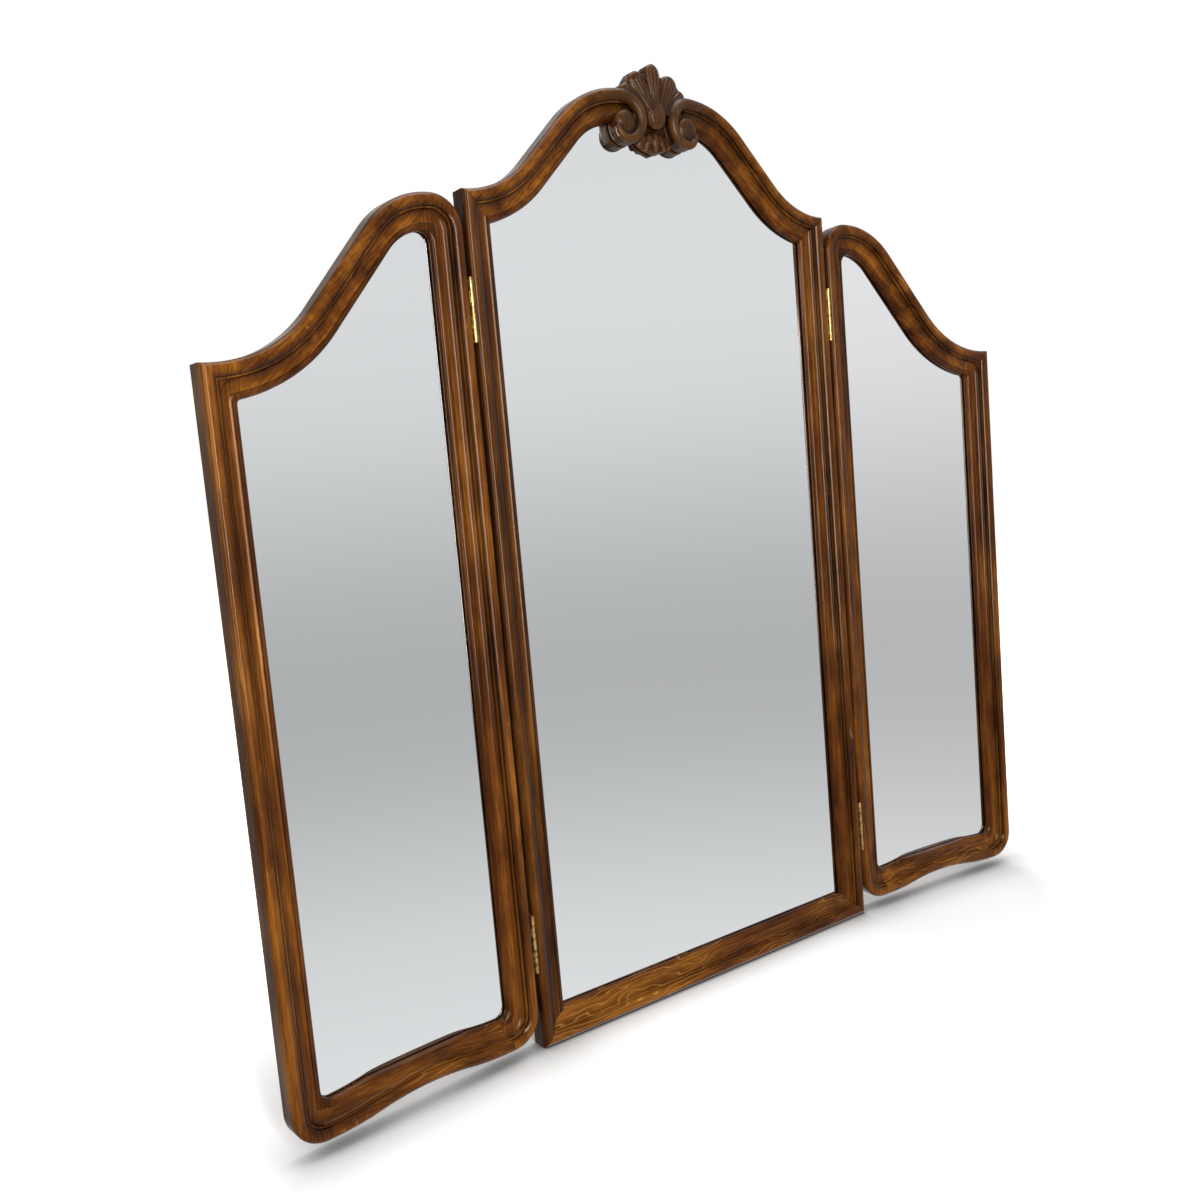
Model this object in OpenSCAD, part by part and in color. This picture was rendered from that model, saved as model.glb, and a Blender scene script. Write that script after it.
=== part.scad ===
// Triptych vanity mirror: an arched centre frame with a carved shell crest, and two
// shaped wings on brass butt hinges. X runs across the mirror, Y runs back, Z runs up.
// The origin is on the underside of the centre frame, in the middle of its thickness.
// Outlines are drawn for the right half. The left half is their mirror image.

/* [Centre frame] */
// Width over the two stiles
centre_w = 564; // [520:4:620]
// Height of the square corners above the table
corner_h = 1005; // [940:5:1080]
// Height of the top of the arch above the table
arch_h = 1138; // [1130:1:1146]
// Distance of the arch's highest point from the middle, where the carving begins
crest_half = 50; // [48:1:54]
// Share of the arch's S curve that its round part takes
arch_round_share = 0.465; // [0.43:0.005:0.48]
// Share of the arch's S curve that its hollow part takes
arch_hollow_share = 0.446; // [0.41:0.002:0.46]

/* [Wings] */
// Width of a wing
wing_w = 315; // [300:1:325]
// Height of a wing's outer top corner above the table
wing_corner_h = 816; // [808:1:830]
// Height of a wing's peak above the table
wing_peak_h = 997; // [985:1:1002]
// Share of the S curve of a wing's top that its round part takes
wing_round_share = 0.356; // [0.335:0.001:0.37]
// Share of the S curve of a wing's top that its hollow part takes
wing_hollow_share = 0.522; // [0.495:0.001:0.535]
// Distance of the hollow's lowest point from the wing's outer edge
wing_hollow_inset = 5; // [4:0.5:6]
// Radius of the shoulder beside the hinge edge, which ends at the peak
shoulder_r = 38; // [36:1:39]
// Radius of the two bottom corners
foot_r = 37; // [36.8:0.1:38]
// Height of the wing's underside above the table
wing_clear = 14; // [8:1:24]
// Rise of the wave in the bottom rail
wave_rise = 10; // [8:1:14]
// Distance of the wave's low points from the wing's edges
wave_inset = 43; // [40:1:50]
// How far each wing stands forward of flat, in degrees
open_angle = 5; // [2:1:20]

/* [Moulding] */
// Width of the moulding's face
face_w = 38.5; // [37.5:0.5:39.5]
// Thickness of the frames
frame_t = 26; // [26:0.5:30]
// Radius of the outer round-over
bead_r = 7; // [6:0.5:7.5]
// Width of the outer bead
bead_w = 15; // [14.5:0.5:16]
// Radius of the bead's inner slope
slope_r = 12; // [11:0.5:14]
// Depth of the narrow fillet beside the bead
fillet_depth = 5; // [4.5:0.5:6]
// Width of the narrow fillet
fillet_w = 2; // [1.5:0.5:2.5]
// Radius of the cove
cove_r = 10.3; // [10:0.1:10.5]
// Depth of the cove
cove_depth = 12.6; // [12:0.1:13.5]
// Radius of the quarter round at the sight edge
lip_r = 7; // [6.5:0.5:7.5]
// Depth of the face that the glass seats against
lip_back = 18; // [17.5:0.5:18.5]

/* [Wing corners] */
// Sight edge radius at the ear
ear_sight_r = 5; // [4:0.5:6]
// Sight edge radius at the shoulder
shoulder_sight_r = 13; // [11:1:15]
// Sight edge radius at the bottom corners
foot_sight_r = 12; // [10:1:13]

/* [Glass and backing] */
// Thickness of the mirror glass
glass_t = 3; // [3:0.5:4]
// How far the glass rabbet runs under the lip
glass_lap = 7; // [6:0.5:7.5]
// Thickness of the backing boards
board_t = 3; // [2.5:0.5:3]
// How far the board rabbet runs outside the sight edge
board_lap = 14.5; // [13.5:0.5:15]
// Play between glass and rabbet
glass_play = 0.5; // [0.3:0.1:1]
// Play between board and rabbet
board_play = 0.4; // [0.3:0.1:1]

/* [Hinges] */
// Length of each hinge
hinge_len = 70; // [60:1:80]
// Height of the middle of the lower hinges
hinge_low_z = 132; // [120:1:150]
// Distance of the middle of the upper hinges below the wings' peaks
hinge_high_drop = 125; // [112:1:147]
// Depth of the hinge pin behind the front of the frames
hinge_depth = 2; // [1.5:0.1:2.5]
// Gap between a wing and the centre frame
hinge_gap = 3; // [3:0.1:4]
// Radius of the knuckles
knuckle_r = 2.4; // [2.2:0.1:2.5]
// Radius of the hinge pin
pin_r = 1.1; // [0.9:0.1:1.3]
// Running clearance of the pin in the wing's knuckles
pin_play = 0.05; // [0.03:0.01:0.1]
// Gap between knuckles
knuckle_gap = 0.4; // [0.3:0.1:0.8]
// Width of a hinge leaf from the pin
leaf_w = 18; // [16:0.5:19]
// Thickness of a hinge leaf
leaf_t = 1.4; // [1.2:0.1:1.6]

/* [Fasteners] */
// Shank radius of the hinge screws
hinge_screw_r = 1.4; // [1.2:0.1:1.6]
// Head radius of the hinge screws
hinge_head_r = 2.7; // [2.4:0.1:3]
// Length of the hinge screws
hinge_screw_len = 14; // [10:1:16]
// Shank radius of the board screws
board_screw_r = 1.25; // [1:0.05:1.4]
// Head radius of the board screws
board_head_r = 3; // [2.5:0.1:3.2]
// Head height of the board screws
board_head_t = 1.5; // [1:0.1:1.8]
// Depth of the board screws in the wood
board_screw_grip = 6; // [4:0.5:7]
// Height of the lowest board screws above the table
board_screw_low = 120; // [100:5:140]
// Distance of the centre frame's highest side screws below its corners
centre_screw_drop = 165; // [155:5:175]
// Distance of a wing's highest inner side screw below its outer corner
inner_screw_drop = 46; // [40:1:60]
// Distance of a wing's highest outer side screw below its outer corner
outer_screw_drop = 106; // [96:1:120]
// Radius of the dowels
dowel_r = 3; // [2.5:0.1:3]
// Half the length of a dowel
dowel_half = 9; // [7:0.5:10]

/* [Keyhole hangers] */
// Height of the hangers above the table
hanger_z = 760; // [700:5:790]
// Distance of the hangers from the centre frame's edges
hanger_inset = 12; // [11.5:0.5:12.5]
// Height of a hanger plate
hanger_h = 48; // [44:1:56]
// Width of a hanger plate
hanger_w = 16; // [15:0.5:17]
// Thickness of a hanger plate
hanger_t = 1.5; // [1.2:0.1:2]
// Radius of the hole that takes the screw head
keyhole_r = 4.5; // [4:0.1:4.8]
// Half the width of the slot that holds the screw
keyslot_r = 2.2; // [2:0.1:2.5]
// Length of the slot above the hole
keyslot_len = 12; // [10:0.5:14]
// Depth of the pocket behind the plate
pocket_depth = 7; // [5:0.5:7]
// Shank radius of the hanger screws
hanger_screw_r = 1.4; // [1.2:0.1:1.6]

/* [Carved crest] */
// Height of the shell's tip above the top of the arch
crest_rise = 34; // [28:1:40]
// How far the carving stands in front of the bead
crest_proud = 6; // [4:0.5:8]
// Height of the volutes' eyes under the top of the arch
eye_drop = 39.5; // [38.5:0.5:41]
// Radius of a volute's eye
eye_r = 11.5; // [10:0.5:12.5]
// Number of lobes of the shell on each side of its middle lobe
side_lobes = 2; // [1:1:3]

/* [Hidden] */
$fn = 96;
front_y = -frame_t / 2;
wood_colour = [0.42, 0.22, 0.08];
carved_colour = [0.34, 0.18, 0.08];
glass_colour = [0.78, 0.81, 0.83];
board_colour = [0.46, 0.36, 0.24];
brass_colour = [0.80, 0.62, 0.24];
steel_colour = [0.55, 0.55, 0.57];
dowel_colour = [0.82, 0.68, 0.46];

// Distances from a frame's outer edge to the lines of the moulding
cove_start = bead_w + fillet_w;
lip_start = face_w - lip_r;
glass_line = face_w - glass_lap;
board_line = face_w - board_lap;
board_face = lip_back + glass_t;
board_back = board_face + board_t;
over = 2;

// Geometry of an S curve: the slope of the straight line that touches a hollow arc from
// below and a round arc from above
function slope_angle(hollow, hollow_r, peak, peak_r) =
    asin((hollow_r + peak_r) / norm(hollow - peak))
    - atan2(hollow[1] - peak[1], hollow[0] - peak[0]);
function polar(c, r, a) = [c[0] + r * cos(a), c[1] + r * sin(a)];
function arc_points(c, r, a0, a1, n = 8) = [for (i = [0:n]) polar(c, r, a0 + (a1 - a0) * i / n)];
function mirrored(points) = [for (i = [len(points) - 1:-1:0]) [-points[i][0], points[i][1]]];

// The two radii of an S curve of this width and rise add up to at most its reach
function s_reach(width, rise) = (width * width + rise * rise) / (2 * rise);

// Centre frame outline, right half
stile_x = centre_w / 2;
arch_reach = s_reach(stile_x - crest_half, arch_h - corner_h);
arch_r = round(arch_round_share * arch_reach);
arch_hollow_r = round(arch_hollow_share * arch_reach);
arch_peak = [crest_half, arch_h - arch_r];
arch_hollow = [stile_x, corner_h + arch_hollow_r];
arch_slope = slope_angle(arch_hollow, arch_hollow_r, arch_peak, arch_r);
// Where the moulding lines of stile and arch meet, at distance d from the outer edge
function arch_corner(d) =
    [stile_x - d, arch_hollow[1] - sqrt(pow(arch_hollow_r + d, 2) - d * d)];
function foot_corner(d) = [stile_x - d, d];
// The arch's outline at distance d, from its peak to the stile
function arch_points(d) = concat(
    arc_points(arch_peak, arch_r - d, 90, 90 - arch_slope),
    arc_points(arch_hollow, arch_hollow_r + d, 270 - arch_slope, 270 - asin(d / (arch_hollow_r + d)))
);
function centre_outline(d) =
    let (half = concat(arch_points(d), [foot_corner(d)]))
    concat(half, mirrored(half));

// Wing outline, in the wing's own plane: x from its hinge edge, z from the table
wing_hollow_x = wing_w - wing_hollow_inset;
wing_reach = s_reach(wing_hollow_x - shoulder_r, wing_peak_h - wing_corner_h);
wing_peak_r = round(wing_round_share * wing_reach);
wing_hollow_r = round(wing_hollow_share * wing_reach);
wing_peak = [shoulder_r, wing_peak_h - wing_peak_r];
wing_hollow = [wing_hollow_x, wing_corner_h + wing_hollow_r];
wing_slope = slope_angle(wing_hollow, wing_hollow_r, wing_peak, wing_peak_r);
wave_low_in = [wave_inset, 0];
wave_low_out = [wing_w - wave_inset, 0];
wave_half = (wing_w - 2 * wave_inset) / 2;
wave_r = (wave_half * wave_half + wave_rise * wave_rise) / (4 * wave_rise);
wave_angle = asin(wave_half / 2 / wave_r);
wave_crest = [wing_w / 2, wing_clear + wave_rise - wave_r];
// A shoulder arc of radius r touches the hinge edge and the peak arc from inside
function shoulder_centre(r) =
    [r, wing_peak[1] + sqrt(pow(wing_peak_r - r, 2) - pow(r - wing_peak[0], 2))];
function shoulder_angle(r) = let (c = shoulder_centre(r)) atan2(c[1] - wing_peak[1], c[0] - wing_peak[0]);
// An ear arc of radius r touches the outer edge and the hollow arc from outside
function ear_centre(r) =
    let (x = wing_w - r)
    [x, wing_hollow[1] - sqrt(pow(wing_hollow_r + r, 2) - pow(wing_hollow[0] - x, 2))];
function ear_angle(r) =
    let (c = ear_centre(r))
    360 + atan2(c[1] - wing_hollow[1], c[0] - wing_hollow[0]);
function ear_corner(d) =
    [wing_w - d, wing_hollow[1] - sqrt(pow(wing_hollow_r + d, 2) - pow(wing_w - d - wing_hollow[0], 2))];
function ear_sweep_end(d) = 270 + asin((wing_w - d - wing_hollow[0]) / (wing_hollow_r + d));
function foot_centre_in(r) = [r, wing_clear + r];
function foot_centre_out(r) = [wing_w - r, wing_clear + r];
function wing_outline(d) = concat(
    arc_points(foot_centre_in(foot_r), foot_r - d, 270, 180, 6),
    arc_points(shoulder_centre(shoulder_r), shoulder_r - d, 180, shoulder_angle(shoulder_r), 6),
    arc_points(wing_peak, wing_peak_r - d, shoulder_angle(shoulder_r), 90 - wing_slope),
    arc_points(wing_hollow, wing_hollow_r + d, 270 - wing_slope, ear_sweep_end(d)),
    arc_points(foot_centre_out(foot_r), foot_r - d, 0, -90, 6),
    arc_points([wave_low_out[0], wing_clear + wave_r], wave_r - d, 270, 270 - wave_angle, 4),
    arc_points(wave_crest, wave_r + d, 90 - wave_angle, 90 + wave_angle, 8),
    arc_points([wave_low_in[0], wing_clear + wave_r], wave_r - d, 270 + wave_angle, 270, 4)
);

// Moulding profiles: x is the distance from the frame's outer edge, y the depth
module bead_cut() {
    difference() {
        translate([-over, -over]) square([bead_r + over, bead_r + over]);
        translate([bead_r, bead_r]) circle(bead_r);
    }
    difference() {
        translate([bead_r, -over]) square([bead_w - bead_r, fillet_depth + over]);
        translate([bead_r, slope_r]) circle(slope_r);
    }
}
module cove_cut() {
    centre_x = lip_start - cove_r / 2;
    intersection() {
        translate([cove_start, -over]) square([lip_start - cove_start, cove_depth + 2 * over]);
        union() {
            translate([centre_x, cove_depth - cove_r]) circle(cove_r);
            translate([cove_start - 1, -over])
                square([lip_start - cove_start + 2, cove_depth - cove_r + over]);
        }
    }
}
module lip_cut() {
    difference() {
        translate([lip_start, -over]) square([lip_r + over, frame_t + 2 * over]);
        translate([lip_start, lip_back - 0.5]) circle(lip_r);
        translate([lip_start - 1, lip_back - 0.5]) square([lip_r + 1, frame_t]);
    }
}
module blank_profile(width) {
    difference() {
        square([width, frame_t]);
        bead_cut();
        translate([bead_w, -over]) square([width, fillet_depth + over]);
    }
}
// The two halves of the bead: its outer round-over, and its inner slope with the flat beyond.
// Two slopes joined, inside two round-overs, make a mitred corner.
module round_profile(width) {
    difference() {
        square([width, frame_t]);
        difference() {
            translate([-over, -over]) square([bead_r + over, bead_r + over]);
            translate([bead_r, bead_r]) circle(bead_r);
        }
    }
}
module slope_profile(width) {
    difference() {
        square([width, frame_t]);
        difference() {
            translate([bead_r, -over]) square([bead_w - bead_r, fillet_depth + over]);
            translate([bead_r, slope_r]) circle(slope_r);
        }
        translate([bead_w, -over]) square([width, fillet_depth + over]);
    }
}
module full_profile() {
    difference() {
        blank_profile(face_w);
        cove_cut();
        lip_cut();
    }
}

// OpenSCAD writes a length out with six digits. Runs of moulding must meet exactly, so a
// place is reached in three moves that keep every digit.
function whole(x) = floor(x);
function thousandths(x) = floor((x - whole(x)) * 1000) / 1000;
function rest(x) = x - whole(x) - thousandths(x);
function thousandth_round(x) = round(x * 1000) / 1000;
module slide(x) {
    translate([whole(x), 0]) translate([thousandths(x), 0]) translate([rest(x), 0]) children();
}
module at(p) {
    translate([whole(p[0]), 0, whole(p[1])])
        translate([thousandths(p[0]), 0, thousandths(p[1])])
            translate([rest(p[0]), 0, rest(p[1])]) children();
}

// Runs of moulding. A straight run starts at p and heads at angle a, with the frame on its
// right hand. A round run has its centre inside the frame, a hollow run outside.
module straight_run(p, a, length) {
    k = ceil(length / 2) + 1;
    for (s = length > floor(length) && length > 4 ? [[0, k], [length - k, k]] : [[0, length]])
        at(polar(p, s[0], a))
            multmatrix([[sin(a), 0, cos(a), 0], [0, 1, 0, 0], [-cos(a), 0, sin(a), 0], [0, 0, 0, 1]])
                linear_extrude(s[1]) children();
}
module turned_run(c, from, to) {
    at(c) rotate([-90, 0, 0]) rotate([0, 0, -from]) rotate_extrude(angle = from - to) children();
}
module round_run(c, r, from, to) {
    turned_run(c, from, to) intersection() {
        slide(r) mirror([1, 0]) children();
        translate([0, -2 * over]) square([r + 2 * over, frame_t + 4 * over]);
    }
}
module hollow_run(c, r, from, to) {
    turned_run(c, from, to) slide(r) children();
}
// An S curve about the point p: a round run, a straight at angle a and a hollow run
module s_run(p, a, round_r, round_turn, length, hollow_r, hollow_turn) {
    at(p) rotate([0, -a, 0]) {
        round_run([0, -round_r], round_r, 90, 90 + round_turn) children();
        if (length > 0) straight_run([0, 0], 0, length) children();
        hollow_run([length, hollow_r], hollow_r, 270, 270 + hollow_turn) children();
    }
}
// A plate between two depths with an outline in the frame's plane
module plate(depth, thick) {
    translate([0, depth + thick, 0]) rotate([90, 0, 0]) linear_extrude(thick) children();
}
module zone(points) {
    plate(-over, frame_t + 2 * over) polygon(points);
}
module front_hole(p, depth, length, r) {
    translate([p[0], depth, p[1]]) rotate([-90, 0, 0]) cylinder(r = r, h = length);
}

// Both halves of the mirror share these places
module in_frame() { translate([0, front_y, 0]) children(); }
module on_left() { mirror([1, 0, 0]) children(); }
hinge_x = stile_x + hinge_gap / 2;
module in_wing() {
    translate([hinge_x, front_y + hinge_depth, 0]) rotate([0, 0, -open_angle])
        translate([hinge_gap / 2, -hinge_depth, 0]) children();
}
hinge_high_z = wing_peak_h - hinge_high_drop;
hinge_heights = [hinge_low_z, hinge_high_z];

// Rabbets for glass and board
module rabbets(outer) {
    for (ledge = [[lip_back, glass_line], [board_face, board_line]])
        plate(ledge[0], frame_t)
            polygon(outer == "centre" ? centre_outline(ledge[1]) : wing_outline(ledge[1]));
}

// Places of the board screws, midway across the board's ledge
screw_line = (board_line + glass_line) / 2;
arch_mid = (polar(arch_peak, arch_r - screw_line, 90 - arch_slope)
    + polar(arch_hollow, arch_hollow_r + screw_line, 270 - arch_slope)) / 2;
// Heights of n screws spread evenly from one height to another
function spread(low, high, n) = [for (k = [0:n - 1]) round(low + (high - low) * k / (n - 1))];
centre_screw_points = [
    for (z = spread(board_screw_low, corner_h - centre_screw_drop, 4)) [stile_x - screw_line, z],
    arch_mid,
    [centre_w / 4, screw_line]
];
wing_mid = (polar(wing_peak, wing_peak_r - screw_line, 90 - wing_slope)
    + polar(wing_hollow, wing_hollow_r + screw_line, 270 - wing_slope)) / 2;
wing_screw_points = [
    for (z = spread(board_screw_low, wing_corner_h - inner_screw_drop, 4)) [screw_line, z],
    for (z = spread(board_screw_low, wing_corner_h - outer_screw_drop, 3)) [wing_w - screw_line, z],
    wing_mid,
    [wing_w / 2, wing_clear + wave_rise + screw_line]
];
module board_screw_holes(points) {
    for (p = points)
        front_hole(p, board_face - board_screw_grip, board_screw_grip + board_t + 1, board_screw_r);
}
module board_screws(points) {
    color(steel_colour) for (p = points) {
        front_hole(p, board_face - board_screw_grip, board_screw_grip + board_t, board_screw_r);
        front_hole(p, board_back, board_head_t, board_head_r);
    }
}

// Dowels: each lies in the frame's plane, through p, at angle a
first_dowel = [10, 15];
second_dowel = [24, 16.6];
module dowel(p, a, depth, r, half) {
    translate([p[0], depth, p[1]]) rotate([0, 90 - a, 0]) translate([0, 0, -half])
        cylinder(r = r, h = 2 * half);
}
// Two dowels across a seam that runs from the outer edge at p in direction a
module seam_dowels(p, a) {
    dowel(polar(p, first_dowel[0], a), a + 90, first_dowel[1], dowel_r, dowel_half);
    dowel(polar(p, second_dowel[0], a), a + 90, second_dowel[1], dowel_r, dowel_half - 1);
}
mitre_dowel_half = dowel_half - 3;
module corner_dowels(corner, a) {
    for (s = [14, 28]) dowel(polar(corner, s, a), a + 90, second_dowel[1] + 0.6, dowel_r, mitre_dowel_half);
}
arch_corner_angle = atan2(arch_corner(face_w)[1] - corner_h, -face_w);
module right_centre_dowels() {
    corner_dowels([stile_x, corner_h], arch_corner_angle);
    corner_dowels([stile_x, 0], 135);
    crest_dowels();
}
module crest_dowels(r = dowel_r) {
    for (d = [first_dowel, second_dowel])
        dowel([crest_half + 1, arch_h - d[0]], 0, d[1], r, dowel_half);
}

// Hinges
leaf_edges = [hinge_depth, hinge_depth + leaf_w];
screw_rows = [hinge_depth + 7, hinge_depth + 13];
hinge_screw_places = [for (k = [-1:1]) [k * (hinge_len / 2 - 10), screw_rows[abs(k)]]];
knuckle_len = hinge_len / 5;
module leaf_recess(z) {
    translate([0, leaf_edges[0], z - hinge_len / 2]) cube([leaf_t, leaf_w, hinge_len]);
    translate([-over, leaf_edges[0] - bead_r, z - hinge_len / 2]) cube([over, leaf_w + bead_r, hinge_len]);
}
// Screws drawn for a leaf that lies on the plane x = 0 and is screwed towards +x
module hinge_screw_set(z) {
    for (s = hinge_screw_places) translate([0, s[1], z + s[0]]) rotate([0, 90, 0]) {
        cylinder(r1 = hinge_head_r, r2 = hinge_screw_r, h = leaf_t);
        cylinder(r = hinge_screw_r, h = hinge_screw_len - 3);
        translate([0, 0, hinge_screw_len - 3]) cylinder(r1 = hinge_screw_r, r2 = 0.4, h = 3);
    }
}
// Place of knuckle i of the hinge at height z, on the line of its pin
module at_knuckle(i, z, rise) {
    translate([-hinge_gap / 2, hinge_depth, z - hinge_len / 2 + i * knuckle_len + rise]) children();
}
module leaf(own, other, bore_r, z) {
    color(brass_colour) difference() {
        union() {
            translate([0, leaf_edges[0], z - hinge_len / 2 + knuckle_gap / 2])
                cube([leaf_t, leaf_w, hinge_len - knuckle_gap]);
            for (i = own)
                at_knuckle(i, z, knuckle_gap / 2) cylinder(r = knuckle_r, h = knuckle_len - knuckle_gap);
        }
        translate([-hinge_gap / 2, hinge_depth, z - hinge_len]) cylinder(r = bore_r, h = 2 * hinge_len);
        for (i = other) at_knuckle(i, z, -knuckle_gap / 2)
            cylinder(r = knuckle_r + knuckle_gap, h = knuckle_len + knuckle_gap);
        hinge_screw_set(z);
    }
}
// The frame's leaf lies on the stile's edge, so it is the wing's leaf turned over
module frame_leaf(z) {
    in_frame() translate([stile_x, 0, 0]) mirror([1, 0, 0]) leaf([0, 2, 4], [1, 3], pin_r, z);
}
module wing_leaf(z) {
    in_wing() leaf([1, 3], [0, 2, 4], pin_r + pin_play, z);
}
pin_head_t = 1;
module hinge_pin(z) {
    color(brass_colour) translate([hinge_x, front_y + hinge_depth, z - hinge_len / 2]) {
        cylinder(r = pin_r, h = hinge_len);
        for (end = [knuckle_gap / 2 - pin_head_t, hinge_len - knuckle_gap / 2])
            translate([0, 0, end]) cylinder(r = knuckle_r - 0.4, h = pin_head_t);
    }
}

// Keyhole hangers
hanger_p = [stile_x - hanger_inset, hanger_z];
hanger_screw_rise = hanger_h / 2 - 5;
module keyhole(r_add, depth, thick) {
    plate(depth, thick) translate(hanger_p) {
        translate([0, -keyslot_len / 2]) circle(keyhole_r + r_add);
        translate([-keyslot_r - r_add, -keyslot_len / 2]) square([2 * (keyslot_r + r_add), keyslot_len]);
        translate([0, keyslot_len / 2]) circle(keyslot_r + r_add);
    }
}
module hanger_recess() {
    plate(frame_t - hanger_t, hanger_t + over) translate(hanger_p)
        square([hanger_w, hanger_h], center = true);
    plate(frame_t - hanger_t - pocket_depth, pocket_depth + 1) translate(hanger_p)
        square([2 * keyhole_r + 1, keyslot_len + 2 * keyhole_r + 3], center = true);
}
module hanger_screw_set() {
    for (s = [-1, 1])
        translate([hanger_p[0], frame_t, hanger_p[1] + s * hanger_screw_rise]) rotate([90, 0, 0]) {
        cylinder(r1 = hanger_screw_r + 1.4, r2 = hanger_screw_r, h = hanger_t);
        cylinder(r = hanger_screw_r, h = hanger_t + 7);
    }
}
module right_hanger() {
    color(steel_colour) in_frame() difference() {
        plate(frame_t - hanger_t, hanger_t) translate(hanger_p) square([hanger_w, hanger_h], center = true);
        keyhole(0, frame_t - 2 * hanger_t, 4 * hanger_t);
        hanger_screw_set();
    }
}

// Centre frame
// Outline of a stile between its mitres, a little larger than the wood on the outside
stile_zone = concat(
    [for (d = [-over:face_w / 9:face_w + over]) arch_corner(d)],
    [foot_corner(face_w + over), foot_corner(-over)]
);
module right_stile() {
    color(wood_colour) in_frame() difference() {
        intersection() {
            straight_run([stile_x, corner_h + face_w], -90, corner_h + 2 * face_w) full_profile();
            zone(stile_zone);
        }
        rabbets("centre");
        for (z = hinge_heights) translate([stile_x, 0, 0]) mirror([1, 0, 0]) {
            leaf_recess(z);
            hinge_screw_set(z);
        }
        hanger_recess();
        hanger_screw_set();
        board_screw_holes(centre_screw_points);
        right_centre_dowels();
    }
}
module right_arch_rail() {
    start = polar(arch_peak, arch_r, 90 - arch_slope);
    end = polar(arch_hollow, arch_hollow_r, 270 - arch_slope);
    length = thousandth_round(norm(end - start));
    color(wood_colour) in_frame() difference() {
        s_run(start, -arch_slope, arch_r, arch_slope + 2, length, arch_hollow_r, arch_slope + 2)
            full_profile();
        zone_block(crest_half, 0, 2 * arch_h);
        zone(concat(stile_zone, [[stile_x + far, 0], [stile_x + far, 2 * corner_h]]));
        rabbets("centre");
        volute_notch();
        board_screw_holes(centre_screw_points);
        right_centre_dowels();
    }
}
module bottom_rail() {
    color(wood_colour) in_frame() difference() {
        intersection() {
            straight_run([stile_x, 0], 180, centre_w) full_profile();
            zone([foot_corner(-over), foot_corner(face_w + over),
                mirrored([foot_corner(face_w + over)])[0], mirrored([foot_corner(-over)])[0]]);
        }
        rabbets("centre");
        for (side = [0, 1]) mirror([side, 0, 0]) {
            board_screw_holes(centre_screw_points);
            right_centre_dowels();
        }
    }
}
module centre_glass() {
    color(glass_colour) in_frame() plate(lip_back, glass_t)
        polygon(centre_outline(glass_line + glass_play));
}
module centre_board() {
    color(board_colour) in_frame() difference() {
        plate(board_face, board_t) polygon(centre_outline(board_line + board_play));
        for (side = [0, 1]) mirror([side, 0, 0]) board_screw_holes(centre_screw_points);
    }
}

// Carved crest
eye = [crest_half - 2, arch_h - eye_drop];
notch_r = eye_r + 3.7;
notch_play = 0.3;
module volute_notch() {
    front_hole(eye, -over, lip_back + over, notch_r);
}
// The scroll starts as wide as the bead and narrows as it winds in to the eye
scroll_steps = 12;
function scroll_turn(i) = 270 * i / scroll_steps;
function scroll_reach(i) = let (t = i / scroll_steps) (eye_drop - bead_r) * (1 - t) + eye_r * t;
function scroll_half(i) = let (t = i / scroll_steps) (bead_w / 2 - 0.4) * (1 - t) + 3 * t;
function scroll_point(i) = polar(eye, scroll_reach(i), 90 + scroll_turn(i));
module scroll_slice(i) {
    p = scroll_point(i);
    h = scroll_half(i);
    translate([p[0], 1, p[1]]) rotate([-90, 0, 0]) cylinder(r = h, h = lip_back - 1, $fn = 20);
    translate([p[0], h / 2 - crest_proud, p[1]]) sphere(h * 0.9, $fn = 20);
}
module volute() {
    for (i = [0:scroll_steps - 1]) hull() {
        scroll_slice(i);
        scroll_slice(i + 1);
    }
    front_hole(eye, -1, lip_back + 1, eye_r, $fn = 32);
    hull() {
        front_hole(eye, -crest_proud / 2, 1, eye_r, $fn = 32);
        front_hole(eye, -crest_proud, 1, eye_r / 2, $fn = 32);
    }
}
shell_root = [0, arch_h - 18];
shell_back = frame_t - 4;
function lobe_angle(k) = 30 * k;
function lobe_r(k) = 10 - abs(k);
lobe_reach = arch_h + crest_rise - shell_root[1] - lobe_r(0);
function lobe_tip(k) = polar(shell_root, lobe_reach * (1 - 0.11 * abs(k)), 90 - lobe_angle(k));
module lobe(k) {
    tip = lobe_tip(k);
    hull() {
        translate([tip[0], 2, tip[1]]) sphere(lobe_r(k), $fn = 24);
        translate([shell_root[0], 3, shell_root[1]]) sphere(5, $fn = 16);
        front_hole(tip, 4, shell_back - 4, lobe_r(k), $fn = 24);
        front_hole(shell_root, 4, shell_back - 4, 5, $fn = 16);
    }
}
module boss() {
    hull() {
        translate([0, 0, shell_root[1] - 10]) sphere(13, $fn = 28);
        translate([0, 0, shell_root[1] + 6]) sphere(8, $fn = 20);
    }
}
module leaf_drop() {
    for (k = [-1:1]) hull() {
        translate([7 * k, 3, eye[1] - 8]) sphere(4.5, $fn = 16);
        translate([8 * k, 5, eye[1] - 28 + 3 * abs(k)]) sphere(3.5, $fn = 16);
    }
    hull() {
        for (side = [-1, 1]) front_hole([side * 26, eye[1] - 8], 6, lip_back - 6, 12, $fn = 24);
        front_hole([0, eye[1] - 26], 6, lip_back - 6, 10, $fn = 24);
    }
}
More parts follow.
